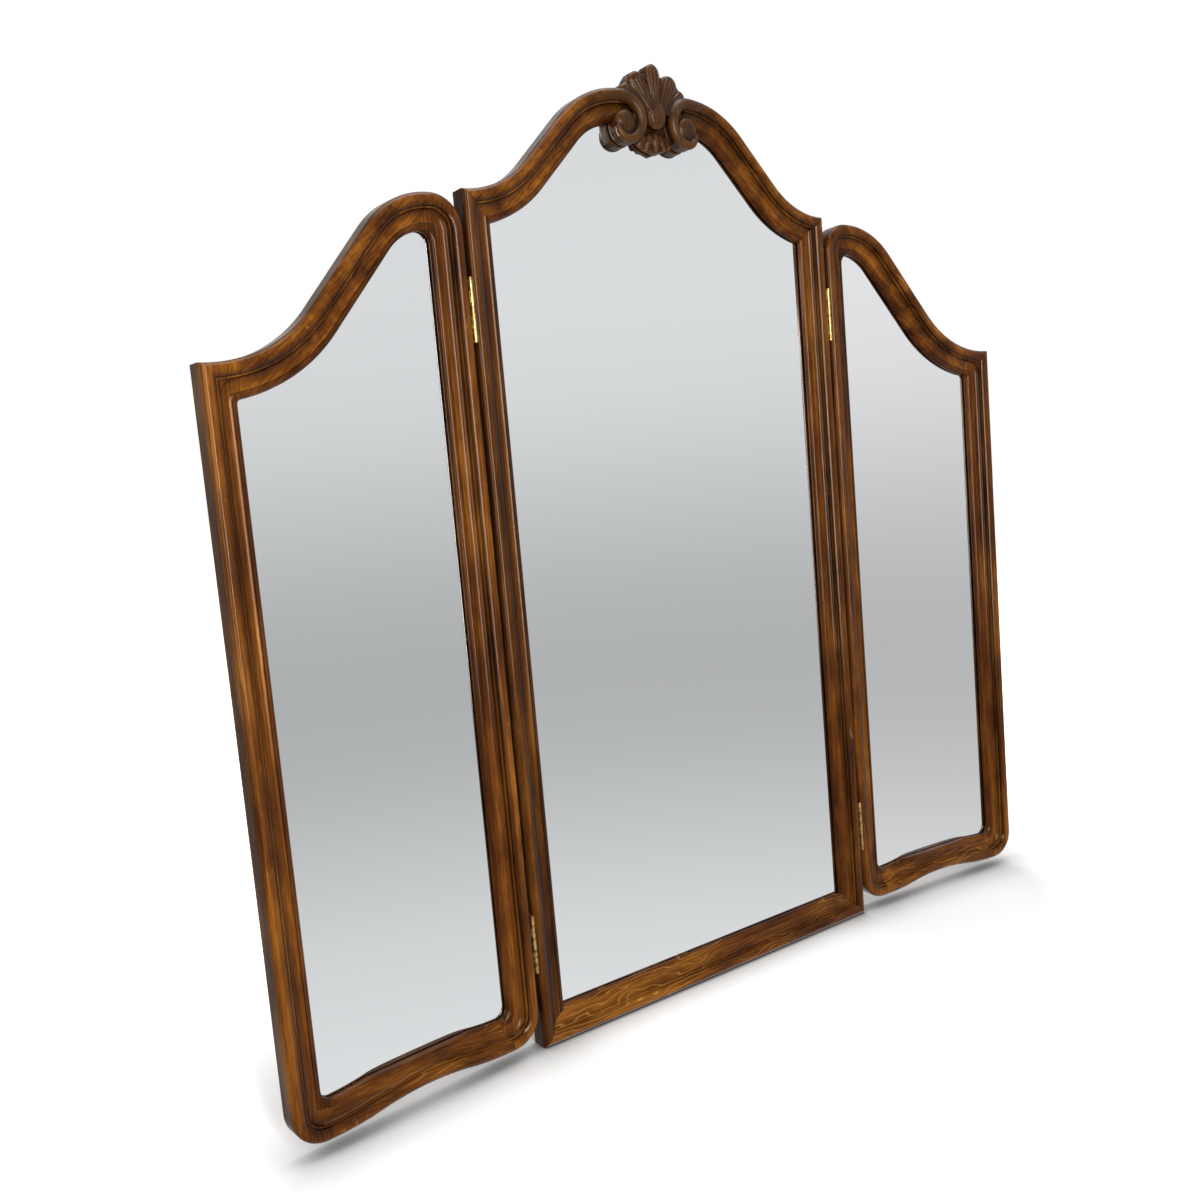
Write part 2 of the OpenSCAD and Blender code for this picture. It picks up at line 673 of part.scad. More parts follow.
module carved_crest() {
    color(carved_colour) in_frame() difference() {
        union() {
            for (k = [-side_lobes:side_lobes]) lobe(k);
            boss();
            leaf_drop();
            intersection() {
                for (side = [0, 1]) mirror([side, 0, 0]) volute();
                union() {
                    zone_block(crest_half, 0, 2 * arch_h);
                    zone_block(2 * crest_half, 0, eye[1] - 1);
                    for (side = [0, 1]) mirror([side, 0, 0])
                        front_hole(eye, -10, 40, notch_r - notch_play, $fn = 48);
                }
            }
            plate(3, frame_t - 3) polygon([
                [-crest_half, eye[1]], [crest_half, eye[1]],
                [crest_half, arch_h - bead_r], [-crest_half, arch_h - bead_r]
            ]);
            plate(bead_r, frame_t - bead_r) polygon([
                [-crest_half, eye[1]], [crest_half, eye[1]], [crest_half, arch_h], [-crest_half, arch_h]
            ]);
        }
        rabbets("centre");
        for (side = [0, 1]) mirror([side, 0, 0]) crest_dowels(dowel_r + 0.15);
    }
}
module zone_block(half, z0, z1) {
    plate(-20, 60) polygon([[-half, z0], [half, z0], [half, z1], [-half, z1]]);
}

// Wings. Each seam runs from a point on the outer edge to a point on the sight edge.
shoulder_path = shoulder_sight_r + face_w;
ear_path = ear_sight_r + face_w;
foot_path = foot_sight_r + face_w;
ear_seam_x = wing_w - 41;
function hollow_height(x, d) =
    wing_hollow[1] - sqrt(pow(wing_hollow_r + d, 2) - pow(x - wing_hollow[0], 2));
shoulder_seam = [
    polar(wing_peak, wing_peak_r, shoulder_angle(shoulder_r)),
    polar(wing_peak, wing_peak_r - face_w, shoulder_angle(shoulder_path))
];
ear_seam = [[ear_seam_x, hollow_height(ear_seam_x, 0)], [ear_seam_x, hollow_height(ear_seam_x, face_w)]];
foot_in_seam = [[foot_r + 1, wing_clear], [foot_path + 1.5, wing_clear + face_w]];
foot_out_seam = [[wing_w - foot_r - 1, wing_clear], [wing_w - foot_path - 1.5, wing_clear + face_w]];
function past(seam, end, by) =
    let (v = (seam[end] - seam[1 - end]) / norm(seam[1] - seam[0]))
    seam[end] + by * v;
function seam_angle(seam) = atan2(seam[1][1] - seam[0][1], seam[1][0] - seam[0][0]);
module wing_dowels() {
    for (s = [shoulder_seam, ear_seam, foot_in_seam, foot_out_seam]) seam_dowels(s[0], seam_angle(s));
}
wing_top_start = polar(wing_peak, wing_peak_r, 90 - wing_slope);
wing_top_end = polar(wing_hollow, wing_hollow_r, 270 - wing_slope);
wing_top_length = thousandth_round(norm(wing_top_end - wing_top_start));
blank_w = max(shoulder_path, foot_path) + 2;
slab_line = bead_w - 5;
far = 3 * face_w;
module wing_cuts() {
    rabbets("wing");
    board_screw_holes(wing_screw_points);
    wing_dowels();
}
module wing_top_rail() {
    color(wood_colour) in_wing() difference() {
        intersection() {
            s_run(wing_top_start, -wing_slope, wing_peak_r, wing_slope + 4, wing_top_length,
                wing_hollow_r, wing_slope) full_profile();
            zone([past(shoulder_seam, 1, far), past(shoulder_seam, 0, far),
                past(ear_seam, 0, 2 * wing_hollow_r), past(ear_seam, 1, 4)]);
        }
        wing_cuts();
    }
}
module half_wave() {
    middle = [wing_w - wave_inset - wave_half / 2, wing_clear + wave_rise / 2];
    intersection() {
        s_run(middle, 180 - wave_angle, wave_r, wave_angle + 3, 0, wave_r, wave_angle + 1) full_profile();
        zone([[wing_w / 2, -far], [wing_w / 2, far], [wing_w + far, far], [wing_w + far, -far]]);
    }
}
module wing_bottom_rail() {
    color(wood_colour) in_wing() difference() {
        intersection() {
            union() {
                half_wave();
                translate([wing_w, 0, 0]) mirror([1, 0, 0]) half_wave();
            }
            zone([past(foot_in_seam, 0, 4), past(foot_in_seam, 1, 4),
                past(foot_out_seam, 1, 4), past(foot_out_seam, 0, 4)]);
        }
        wing_cuts();
    }
}
// The middle of a wing, up to just inside its sight edge
module wing_opening() {
    d = face_w + 1;
    zone(concat(
        arc_points(foot_centre_in(foot_path), foot_path - d, 270, 180, 6),
        arc_points(shoulder_centre(shoulder_path), shoulder_path - d,
            180, shoulder_angle(shoulder_path), 6),
        arc_points(wing_peak, wing_peak_r - d, shoulder_angle(shoulder_path), 90 - wing_slope),
        arc_points(wing_hollow, wing_hollow_r + d, 270 - wing_slope, ear_angle(ear_path)),
        arc_points(ear_centre(ear_path), ear_path - d, ear_angle(ear_path) - 180, 0, 6),
        arc_points(foot_centre_out(foot_path), foot_path - d, 0, -90, 6)
    ));
}
// One bottom corner, drawn for the hinge side. The children are the run's profile.
module foot_bend(r) {
    round_run(foot_centre_in(r), r, 270, 180) children();
}
module foot_corner_run(r) {
    foot_bend(r) children();
    straight_run([r + 40, wing_clear], 180, 40) children();
}
// The cove is wider at a corner, where its two edges have different radii
module foot_cove() {
    foot_corner_run(foot_r) cove_cut();
    for (r = [(foot_r + foot_path) / 2, foot_path]) foot_bend(r) cove_cut();
}
module wing_inner_stile() {
    top = shoulder_centre(shoulder_r);
    bottom = foot_centre_in(foot_r);
    lip_top = shoulder_centre(shoulder_path);
    lip_bottom = foot_centre_in(foot_path);
    color(wood_colour) in_wing() difference() {
        intersection() {
            union() {
                foot_corner_run(foot_r) blank_profile(blank_w);
                straight_run([0, bottom[1]], 90, top[1] - bottom[1]) blank_profile(blank_w);
                round_run(top, shoulder_r, 180, 90) blank_profile(blank_w);
                round_run(wing_peak, wing_peak_r, 90, 50) blank_profile(blank_w);
            }
            zone([past(foot_in_seam, 0, far), past(foot_in_seam, 1, 2 * over),
                [blank_w + far, corner_h / 2],
                past(shoulder_seam, 1, 2 * over), past(shoulder_seam, 0, far),
                [-far, past(shoulder_seam, 0, far)[1]], [-far, past(foot_in_seam, 0, far)[1]]]);
        }
        foot_cove();
        straight_run([0, bottom[1]], 90, top[1] - bottom[1]) cove_cut();
        round_run(top, shoulder_r, 180, 90) cove_cut();
        round_run(wing_peak, wing_peak_r, 90, 50) cove_cut();
        for (r = [(shoulder_r + shoulder_path) / 2, shoulder_path])
            round_run(shoulder_centre(r), r, 180, shoulder_angle(r)) cove_cut();
        foot_corner_run(foot_path) lip_cut();
        straight_run([0, lip_bottom[1]], 90, lip_top[1] - lip_bottom[1]) lip_cut();
        round_run(lip_top, shoulder_path, 180, shoulder_angle(shoulder_path) - 20) lip_cut();
        wing_opening();
        wing_cuts();
        for (z = hinge_heights) {
            leaf_recess(z);
            hinge_screw_set(z);
        }
    }
}
// The bend at the ear, up to and past the seam
module ear_bend(r) {
    round_run(ear_centre(r), r, 0, 115) children();
}
module wing_outer_stile() {
    bottom = foot_centre_out(foot_r);
    lip_bottom = foot_centre_out(foot_path);
    cove_top = ear_centre(foot_r);
    lip_top = ear_centre(ear_path);
    side_length = wing_corner_h + face_w - bottom[1];
    color(wood_colour) in_wing() difference() {
        intersection() {
            union() {
                translate([wing_w, 0, 0]) mirror([1, 0, 0]) foot_corner_run(foot_r) blank_profile(blank_w);
                intersection() {
                    union() {
                        straight_run([wing_w, wing_corner_h + face_w], -90, side_length)
                            slope_profile(blank_w);
                        hollow_run(wing_hollow, wing_hollow_r, 280, 240) slope_profile(blank_w);
                    }
                    straight_run([wing_w, wing_corner_h + face_w], -90, side_length)
                        round_profile(blank_w);
                    hollow_run(wing_hollow, wing_hollow_r, 280, 240)
                        round_profile(wing_corner_h);
                }
            }
            zone([past(ear_seam, 0, far), [wing_w + far, past(ear_seam, 0, far)[1]],
                [wing_w + far, wing_clear - far],
                past(foot_out_seam, 0, far), past(foot_out_seam, 1, 2 * over),
                [wing_w - blank_w - far, corner_h / 2],
                past(ear_seam, 1, 2 * over)]);
        }
        translate([wing_w, 0, 0]) mirror([1, 0, 0]) foot_cove();
        straight_run([wing_w, cove_top[1]], -90, cove_top[1] - bottom[1]) cove_cut();
        for (r = [foot_r, ear_path]) ear_bend(r) cove_cut();
        translate([wing_w, 0, 0]) mirror([1, 0, 0]) foot_corner_run(foot_path) lip_cut();
        straight_run([wing_w, lip_top[1]], -90, lip_top[1] - lip_bottom[1]) lip_cut();
        ear_bend(ear_path) lip_cut();
        wing_opening();
        wing_cuts();
    }
}
module wing_glass() {
    color(glass_colour) in_wing() plate(lip_back, glass_t) polygon(wing_outline(glass_line + glass_play));
}
module wing_board() {
    color(board_colour) in_wing() difference() {
        plate(board_face, board_t) polygon(wing_outline(board_line + board_play));
        board_screw_holes(wing_screw_points);
    }
}

// Fastener groups
module right_frame_hinge_screws() {
    color(brass_colour) in_frame() translate([stile_x, 0, 0]) mirror([1, 0, 0])
        for (z = hinge_heights) hinge_screw_set(z);
}
module wing_hinge_screws() {
    color(brass_colour) in_wing() for (z = hinge_heights) hinge_screw_set(z);
}
module centre_board_screws() {
    for (side = [0, 1]) mirror([side, 0, 0]) in_frame() board_screws(centre_screw_points);
}
module centre_dowels() {
    color(dowel_colour) for (side = [0, 1]) mirror([side, 0, 0]) in_frame() right_centre_dowels();
}
module hanger_screws() {
    color(steel_colour) for (side = [0, 1]) mirror([side, 0, 0]) in_frame() hanger_screw_set();
}

on_left() right_stile();  // left_stile
right_stile();
on_left() right_arch_rail();  // left_arch_rail
right_arch_rail();
bottom_rail();
carved_crest();
centre_glass();  // centre_mirror_glass
centre_board();  // centre_backing_board
centre_board_screws();
centre_dowels();
on_left() right_hanger();  // left_keyhole_hanger
right_hanger();  // right_keyhole_hanger
hanger_screws();  // keyhole_hanger_screws
on_left() frame_leaf(hinge_high_z);  // left_upper_hinge_frame_leaf
on_left() frame_leaf(hinge_low_z);  // left_lower_hinge_frame_leaf
frame_leaf(hinge_high_z);  // right_upper_hinge_frame_leaf
frame_leaf(hinge_low_z);  // right_lower_hinge_frame_leaf
on_left() hinge_pin(hinge_high_z);  // left_upper_hinge_pin
on_left() hinge_pin(hinge_low_z);  // left_lower_hinge_pin
hinge_pin(hinge_high_z);  // right_upper_hinge_pin
hinge_pin(hinge_low_z);  // right_lower_hinge_pin
on_left() right_frame_hinge_screws();  // left_frame_hinge_screws
right_frame_hinge_screws();
on_left() wing_inner_stile();  // left_wing_inner_stile
on_left() wing_outer_stile();  // left_wing_outer_stile
on_left() wing_top_rail();  // left_wing_top_rail
on_left() wing_bottom_rail();  // left_wing_bottom_rail
on_left() wing_glass();  // left_wing_mirror_glass
on_left() wing_board();  // left_wing_backing_board
on_left() in_wing() board_screws(wing_screw_points);  // left_wing_board_screws
on_left() in_wing() color(dowel_colour) wing_dowels();  // left_wing_dowels
on_left() wing_leaf(hinge_high_z);  // left_upper_hinge_wing_leaf
on_left() wing_leaf(hinge_low_z);  // left_lower_hinge_wing_leaf
on_left() wing_hinge_screws();  // left_wing_hinge_screws
wing_inner_stile();  // right_wing_inner_stile
wing_outer_stile();  // right_wing_outer_stile
wing_top_rail();  // right_wing_top_rail
wing_bottom_rail();  // right_wing_bottom_rail
wing_glass();  // right_wing_mirror_glass
wing_board();  // right_wing_backing_board
in_wing() board_screws(wing_screw_points);  // right_wing_board_screws
in_wing() color(dowel_colour) wing_dowels();  // right_wing_dowels
wing_leaf(hinge_high_z);  // right_upper_hinge_wing_leaf
wing_leaf(hinge_low_z);  // right_lower_hinge_wing_leaf
wing_hinge_screws();  // right_wing_hinge_screws
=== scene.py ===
"""Looks of the triptych vanity mirror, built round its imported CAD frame.

The centre frame stands still and carries the carved crest. A wing turns on two brass butt
hinges at each side of it. Lengths are in metres, in the frame of the CAD model: X runs
across the mirror, Y runs back, Z runs up.
"""

import logging
import math
from collections.abc import Iterator
from contextlib import contextmanager
from dataclasses import dataclass, field
from enum import Enum

import bpy
import numpy as np
from mathutils import Matrix, Vector

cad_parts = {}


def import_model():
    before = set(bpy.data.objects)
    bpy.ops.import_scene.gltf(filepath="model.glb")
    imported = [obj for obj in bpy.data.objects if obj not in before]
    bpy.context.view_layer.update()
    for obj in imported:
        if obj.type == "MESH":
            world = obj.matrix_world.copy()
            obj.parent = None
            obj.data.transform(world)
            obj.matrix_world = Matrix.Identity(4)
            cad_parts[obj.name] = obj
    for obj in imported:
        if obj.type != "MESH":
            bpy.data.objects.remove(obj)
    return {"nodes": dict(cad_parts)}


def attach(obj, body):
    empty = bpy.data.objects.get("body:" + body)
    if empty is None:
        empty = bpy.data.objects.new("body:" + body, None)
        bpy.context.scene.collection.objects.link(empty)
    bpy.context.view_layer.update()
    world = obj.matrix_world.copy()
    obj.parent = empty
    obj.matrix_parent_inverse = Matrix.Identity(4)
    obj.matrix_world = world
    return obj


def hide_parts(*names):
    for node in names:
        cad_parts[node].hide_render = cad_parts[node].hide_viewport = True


LOG = logging.getLogger("triptych")
SILVER_DEPTH = 0.0018
CARVING_BACK = 0.0048
Object = bpy.types.Object
Material = bpy.types.Material
Socket = bpy.types.NodeSocket
Colour = tuple[float, float, float]
Point2 = tuple[float, float]
Point3 = tuple[float, float, float]
Seam = tuple[Point2, Point2]
Stops = list[tuple[float, Colour | float]]
WHITE: Colour = (1.0, 1.0, 1.0)


class Side(Enum):
    """The side of the centre frame that a piece belongs to, as the sign of its X."""

    LEFT = -1
    RIGHT = 1

    @property
    def word(self) -> str:
        """The side's name in the names of pieces."""
        return self.name.lower()


class Grain(Enum):
    """The direction of the grain in a piece, as its angle from upright, in degrees."""

    UPRIGHT = 0
    LEVEL = 90
    RISING = 48
    FALLING = -48


# Modelling helpers


def deselect_all() -> None:
    """Leave object mode's selection empty, because an operator acts on all that is selected."""
    bpy.context.view_layer.update()
    bpy.ops.object.select_all(action="DESELECT")


def select_only(obj: Object) -> None:
    """Select one object and make it the active one.

    Args:
        obj: The object.
    """
    deselect_all()
    obj.select_set(True)
    bpy.context.view_layer.objects.active = obj


def add_object(name: str, data: bpy.types.ID) -> Object:
    """Put a new object into the scene.

    Args:
        name: Its name.
        data: Its mesh, curve, light or camera.

    Returns:
        The object.
    """
    obj = bpy.data.objects.new(name, data)
    bpy.context.scene.collection.objects.link(obj)
    return obj


def apply_place(obj: Object) -> None:
    """Put an object's place, turn and scale into its mesh."""
    select_only(obj)
    bpy.ops.object.transform_apply(location=True, rotation=True, scale=True)


@contextmanager
def editing_all() -> Iterator[None]:
    """Edit the active mesh with all of it selected."""
    bpy.ops.object.mode_set(mode="EDIT")
    bpy.ops.mesh.select_all(action="SELECT")
    yield
    bpy.ops.object.mode_set(mode="OBJECT")


def apply_modifier(obj: Object, kind: str, **values: float | int | bool | str) -> None:
    """Add one modifier to a piece and apply it.

    Args:
        obj: The piece.
        kind: The modifier's type, as Blender names it.
        **values: The modifier's settings.
    """
    select_only(obj)
    modifier = obj.modifiers.new(kind.lower(), kind)
    for key, value in values.items():
        setattr(modifier, key, value)
    bpy.ops.object.modifier_apply(modifier=modifier.name)


def vertex_array(obj: Object, what: str = "co") -> np.ndarray:
    """Read a vector of each vertex of a mesh.

    Args:
        obj: The piece.
        what: The vector: its place, or its normal.

    Returns:
        One row for each vertex.
    """
    flat = np.empty(len(obj.data.vertices) * 3, dtype=np.float32)
    obj.data.vertices.foreach_get(what, flat)
    return flat.reshape(-1, 3).astype(float)


def store_values(obj: Object, name: str, values: np.ndarray) -> None:
    """Keep one number for each vertex of a piece, for its material to read.

    Args:
        obj: The piece.
        name: The attribute's name.
        values: One number for each vertex.
    """
    attribute = obj.data.attributes.new(name, "FLOAT", "POINT")
    attribute.data.foreach_set("value", values.astype(np.float32))


def dress(obj: Object, material: Material) -> None:
    """Give a whole piece one material."""
    obj.data.materials.clear()
    obj.data.materials.append(material)


# Finishes


@dataclass
class NodeTree:
    """The nodes of a material or of the room, with short ways to add and to join them."""

    owner: bpy.types.ID

    def __post_init__(self) -> None:
        """Start without nodes."""
        self.owner.use_nodes = True
        self.owner.node_tree.nodes.clear()

    @classmethod
    def material(cls, name: str) -> "NodeTree":
        """An empty tree in a new material of that name."""
        return cls(bpy.data.materials.new(name))

    def put(self, socket: Socket, value: object) -> None:
        """Link an output to an input, or give the input a fixed value.

        Args:
            socket: The input.
            value: An output, a number, a vector or a colour.
        """
        if isinstance(value, Socket):
            self.owner.node_tree.links.new(value, socket)
        elif socket.type == "RGBA":
            socket.default_value = (*value, 1.0)
        else:
            socket.default_value = value

    def add(self, kind: str, **values: object) -> bpy.types.Node:
        """Add a node.

        Args:
            kind: The node's type, without its ShaderNode prefix.
            **values: Properties, or sockets written as in_NAME or in_NUMBER.

        Returns:
            The new node.
        """
        node = self.owner.node_tree.nodes.new("ShaderNode" + kind)
        for key, value in values.items():
            if key.startswith("in_"):
                name = key[3:]
                self.put(node.inputs[int(name) if name.isdigit() else name.replace("_", " ")], value)
            else:
                setattr(node, key, value)
        return node

    def place(self) -> Socket:
        """Places in the piece's own frame."""
        return self.add("TexCoord").outputs["Object"]

    def kept(self, name: str) -> Socket:
        """The number that is kept under a name for each vertex."""
        return self.add("Attribute", attribute_name=name).outputs["Fac"]

    def noise(self, place: Socket, scale: float, detail: float, roughness: float = 0.5) -> Socket:
        """Noise with so many changes for each metre, finer layers, and strength of those layers."""
        return self.add("TexNoise", in_Vector=place, in_Scale=scale, in_Detail=detail,
                        in_Roughness=roughness).outputs[0]

    def ramp(self, factor: Socket, stops: Stops, blend: str = "LINEAR") -> Socket:
        """A colour ramp over a factor.

        Args:
            factor: The output that drives it.
            stops: Place and colour, or place and grey, of each stop.
            blend: How it runs from stop to stop.

        Returns:
            The ramp's colour output.
        """
        node = self.add("ValToRGB", in_0=factor)
        node.color_ramp.interpolation = blend
        elements = node.color_ramp.elements
        while len(elements) > 1:
            elements.remove(elements[-1])
        for i, (place, tone) in enumerate(stops):
            element = elements[0] if i == 0 else elements.new(place)
            element.position = place
            rgb = tone if isinstance(tone, tuple) else (tone, tone, tone)
            element.color = (*rgb, 1.0)
        return node.outputs[0]

    def mix(self, mode: str, factor: object, a: object, b: object) -> Socket:
        """Mix two colours or outputs in a blend mode, by a number or an output."""
        return self.add("Mix", data_type="RGBA", blend_type=mode, in_0=factor, in_6=a, in_7=b).outputs[2]

    def math(self, operation: str, *values: object, clamp: bool = False) -> Socket:
        """Work with numbers or outputs.

        Args:
            operation: What is done with them, as Blender names it.
            *values: The numbers or outputs.
            clamp: Whether the result is held between 0 and 1.

        Returns:
            The result.
        """
        node = self.add("Math", operation=operation, use_clamp=clamp)
        for socket, value in zip(node.inputs, values):
            self.put(socket, value)
        return node.outputs[0]

    def times(self, *values: object) -> Socket:
        """Multiply two numbers or outputs."""
        return self.math("MULTIPLY", *values)

    def weighted(self, *parts: tuple[Socket, float]) -> Socket:
        """Add outputs up, each by its weight.

        Args:
            *parts: Output and weight of each.

        Returns:
            The sum.
        """
        scaled = [self.times(value, weight) for value, weight in parts]
        total = scaled.pop()
        while scaled:
            total = self.math("ADD", scaled.pop(), total)
        return total

    def finish(self, shader: bpy.types.Node) -> Material:
        """Send a shader to the material's output."""
        self.add("OutputMaterial", in_0=shader.outputs[0])
        return self.owner

    def surface(self, **values: object) -> Material:
        """Finish the material with a general surface that has these sockets."""
        return self.finish(self.add("BsdfPrincipled", **values))


@dataclass(frozen=True)
class Finish:
    """A finish. The pieces that share its name share its material."""

    name: str

    def material(self) -> Material:
        """Build the material, in the way of each kind of finish."""
        raise NotImplementedError


# Stain and painted light across the moulding of a rail, from its outer edge, as what it does to the wood's
# colour: painted shade in the quirks, on the lip and at the glass, painted highlights on the bead's crown,
# the fillet and the edge of the lip, and a bluish painted sheen on the flank
PROFILE_STAIN_AND_PAINTED_LIGHT: Stops = [
    (0.0, (0.62, 0.80, 2.4)), (0.02, (0.80, 0.75, 0.9)), (0.10, (1.10, 1.10, 1.1)),
    (0.24, (0.95, 0.9, 0.9)), (0.345, (0.42, 0.36, 0.4)), (0.372, 0.05), (0.385, (0.8, 0.85, 1.2)),
    (0.42, (0.95, 1.0, 1.4)), (0.432, 0.10), (0.46, (0.50, 0.44, 0.4)), (0.60, (0.95, 0.9, 0.85)),
    (0.765, (1.2, 1.18, 1.1)), (0.785, 0.15), (0.80, (0.62, 0.52, 0.6)), (0.90, (0.55, 0.44, 0.5)),
    (0.95, (0.50, 0.42, 0.5)), (0.963, 0.30)]
# Where the moulding is rubbed: on the crown of the bead and on the edge of the lip
PROFILE_WEAR: Stops = [(0.05, 0.0), (0.12, 1.0), (0.24, 0.8), (0.32, 0.0), (0.74, 0.0), (0.77, 0.9),
                       (0.79, 0.0)]


@dataclass(frozen=True)
class MouldedWood(Finish):
    """Stained and waxed wood of the moulded rails, with painted shade in the quirks and painted highlights
    on the moulding, rubbed on the bead.
    """

    grain: Grain
    shift: Point3
    figure: float
    glaze_and_painted_light: float
    shade: float
    profile_width: float = 0.04
    front_depth: float = 0.0105
    front_fade: float = 600.0
    seam_half: float = 0.0003
    ring_scale: float = 62.0
    dark: Colour = (0.020, 0.0050, 0.0009)
    middle: Colour = (0.074, 0.0220, 0.0020)
    light: Colour = (0.200, 0.076, 0.0075)
    worn: Colour = (0.400, 0.200, 0.0450)
    flat_back: Colour = (0.040, 0.020, 0.009)

    def stretched(self, tree: NodeTree, placed: Socket, along: float, scale: float,
                  detail: float = 3.0) -> Socket:
        """Noise drawn out along the grain.

        Args:
            tree: The material's nodes.
            placed: Coordinates with the grain upright.
            along: Its stretch along the grain.
            scale: How often it changes across the grain, for each metre.
            detail: How many finer layers it has.

        Returns:
            The noise.
        """
        along *= 1.0 if self.grain in (Grain.UPRIGHT, Grain.LEVEL) else 4.0
        drawn = tree.add("Mapping", in_Vector=placed, in_Scale=(1.0, 1.0, along)).outputs[0]
        return tree.noise(drawn, scale, detail, 0.6)

    def rings(self, tree: NodeTree, placed: Socket) -> Socket:
        """The growth rings of the wood.

        Args:
            tree: The material's nodes.
            placed: Coordinates with the grain upright.

        Returns:
            The rings, from 0 to 1 across each.
        """
        leaning = tree.add("Mapping", in_Vector=placed,
                           in_Rotation=(math.radians(3.0), math.radians(2.0), 0.0),
                           in_Scale=(1.0, 1.0, 0.09 + 0.35 * self.figure)).outputs[0]
        return tree.add("TexWave", wave_type="RINGS", rings_direction="Z", wave_profile="SAW",
                        in_Vector=leaning, in_Scale=self.ring_scale,
                        in_Distortion=6.0 + 36.0 * self.figure, in_Detail=2.0, in_Detail_Scale=0.6,
                        in_Detail_Roughness=0.5).outputs[1]

    def material(self) -> Material:
        """Build the material.

        Returns:
            The material.
        """
        tree = NodeTree.material(self.name)
        coordinates = tree.place()
        placed = tree.add("Mapping", in_Vector=coordinates, in_Location=self.shift,
                          in_Rotation=(0.0, math.radians(-self.grain.value), 0.0)).outputs[0]
        rings = self.rings(tree, placed)
        streaks = self.stretched(tree, placed, 0.05, 95.0)
        fibres = self.stretched(tree, placed, 0.035, 620.0)
        clouds = self.stretched(tree, placed, 0.35, 20.0)
        tone = tree.weighted((rings, 0.08), (streaks, 0.34), (fibres, 0.24), (clouds, 0.60))
        colour = tree.ramp(tone, [(0.48, self.dark), (0.64, self.middle), (0.84, self.light)])
        flecks = tree.ramp(self.stretched(tree, placed, 0.10, 430.0, 2.0), [(0.64, 1.0), (0.70, 0.45)])
        colour = tree.mix("MULTIPLY", 0.8, colour, flecks)
        place = tree.math("DIVIDE", tree.kept("across"), self.profile_width)
        behind = tree.math("SUBTRACT", tree.kept("depth"), self.front_depth)
        front = tree.math("SUBTRACT", 1.0, tree.math("MULTIPLY", behind, self.front_fade, clamp=True))
        # The moulding's ramp: stain, painted shade in the quirks and painted highlights on the bead and the
        # lip.
        stain = tree.ramp(place, PROFILE_STAIN_AND_PAINTED_LIGHT)
        colour = tree.mix("MULTIPLY", tree.times(front, self.glaze_and_painted_light), colour, stain)
        lines = tree.times(tree.ramp(rings, [(0.0, 0.0), (0.07, 1.0), (0.20, 0.0)]),
                           tree.ramp(clouds, [(0.42, 0.0), (0.58, 1.0)]))
        colour = tree.mix("MIX", tree.times(lines, self.figure), colour, self.worn)
        rubbed = tree.ramp(self.stretched(tree, placed, 0.30, 150.0), [(0.64, 0.0), (0.72, 1.0)])
        wear = tree.times(tree.ramp(place, PROFILE_WEAR), rubbed)
        colour = tree.mix("MIX", tree.times(wear, 0.22 + self.figure / 4), colour, self.worn)
        plain = tree.mix("MIX", tree.times(streaks, 0.8), self.flat_back, self.middle)
        colour = tree.mix("MIX", front, plain, colour)
        if self.grain in (Grain.RISING, Grain.FALLING):
            across = tree.math("ABSOLUTE", tree.add("SeparateXYZ", in_0=coordinates).outputs[0])
            colour = tree.mix("MULTIPLY", 1.0, colour, tree.ramp(across, [(0.045, 0.42), (0.15, 1.0)]))
        ends = [tree.math("ABSOLUTE", tree.kept(name)) for name in ("first_end", "last_end")]
        joint = tree.math("LESS_THAN", tree.math("MINIMUM", *ends), self.seam_half)
        colour = tree.mix("MIX", tree.times(joint, 0.8), colour, self.dark)
        # Painted shadow: the rail's whole colour is darkened.
        if self.shade < 1.0:
            colour = tree.mix("MULTIPLY", 1.0, colour, (self.shade,) * 3)
        polish = tree.math("SUBTRACT", 0.50, tree.times(front, 0.34))
        rough = tree.math("ADD", polish, tree.times(streaks, 0.12))
        bump = tree.add("Bump", in_Strength=0.22, in_Distance=0.0006, in_Height=tone)
        return tree.surface(in_Base_Color=colour, in_Roughness=rough, in_Normal=bump.outputs[0],
                            in_Specular_IOR_Level=0.18, in_Specular_Tint=(1.0, 0.74, 0.56))


@dataclass(frozen=True)
class CarvedWood(Finish):
    """The crest's wood: the same stain, worn on the high places, and dark in the cuts from stain and painted
    shade.
    """

    deep: Colour = (0.0035, 0.0012, 0.0005)
    middle: Colour = (0.019, 0.0062, 0.0014)
    worn: Colour = (0.125, 0.050, 0.0110)

    def material(self) -> Material:
        """Build the material.

        Returns:
            The material.
        """
        tree = NodeTree.material(self.name)
        place = tree.place()
        drawn = tree.add("Mapping", in_Vector=place, in_Scale=(1.0, 1.0, 0.12)).outputs[0]
        streaks = tree.noise(drawn, 420.0, 4.0, 0.6)
        clouds = tree.noise(place, 45.0, 3.0)
        tone = tree.math("ADD", tree.kept("relief"), tree.weighted((streaks, 0.18), (clouds, 0.16)))
        # Dark in the cuts from stain and painted shade, light on the high places from wear.
        colour = tree.ramp(tone, [(0.34, self.deep), (0.68, self.middle), (1.0, self.worn)])
        bump = tree.add("Bump", in_Strength=0.3, in_Distance=0.0005, in_Height=streaks)
        return tree.surface(in_Base_Color=colour, in_Roughness=0.32, in_Normal=bump.outputs[0],
                            in_Specular_IOR_Level=0.20, in_Specular_Tint=(1.0, 0.80, 0.66))


@dataclass(frozen=True)
class Silvering(Finish):
    """Old mirror glass with its silver."""

    colour: Colour

    def material(self) -> Material:
        """Build the material.

        Returns:
            The material.
        """
        tree = NodeTree.material(self.name)
        haze = tree.noise(tree.place(), 6.0, 4.0)
        rough = tree.math("ADD", 0.015, tree.times(haze, 0.03))
        return tree.surface(in_Base_Color=self.colour, in_Roughness=rough, in_Metallic=1.0)


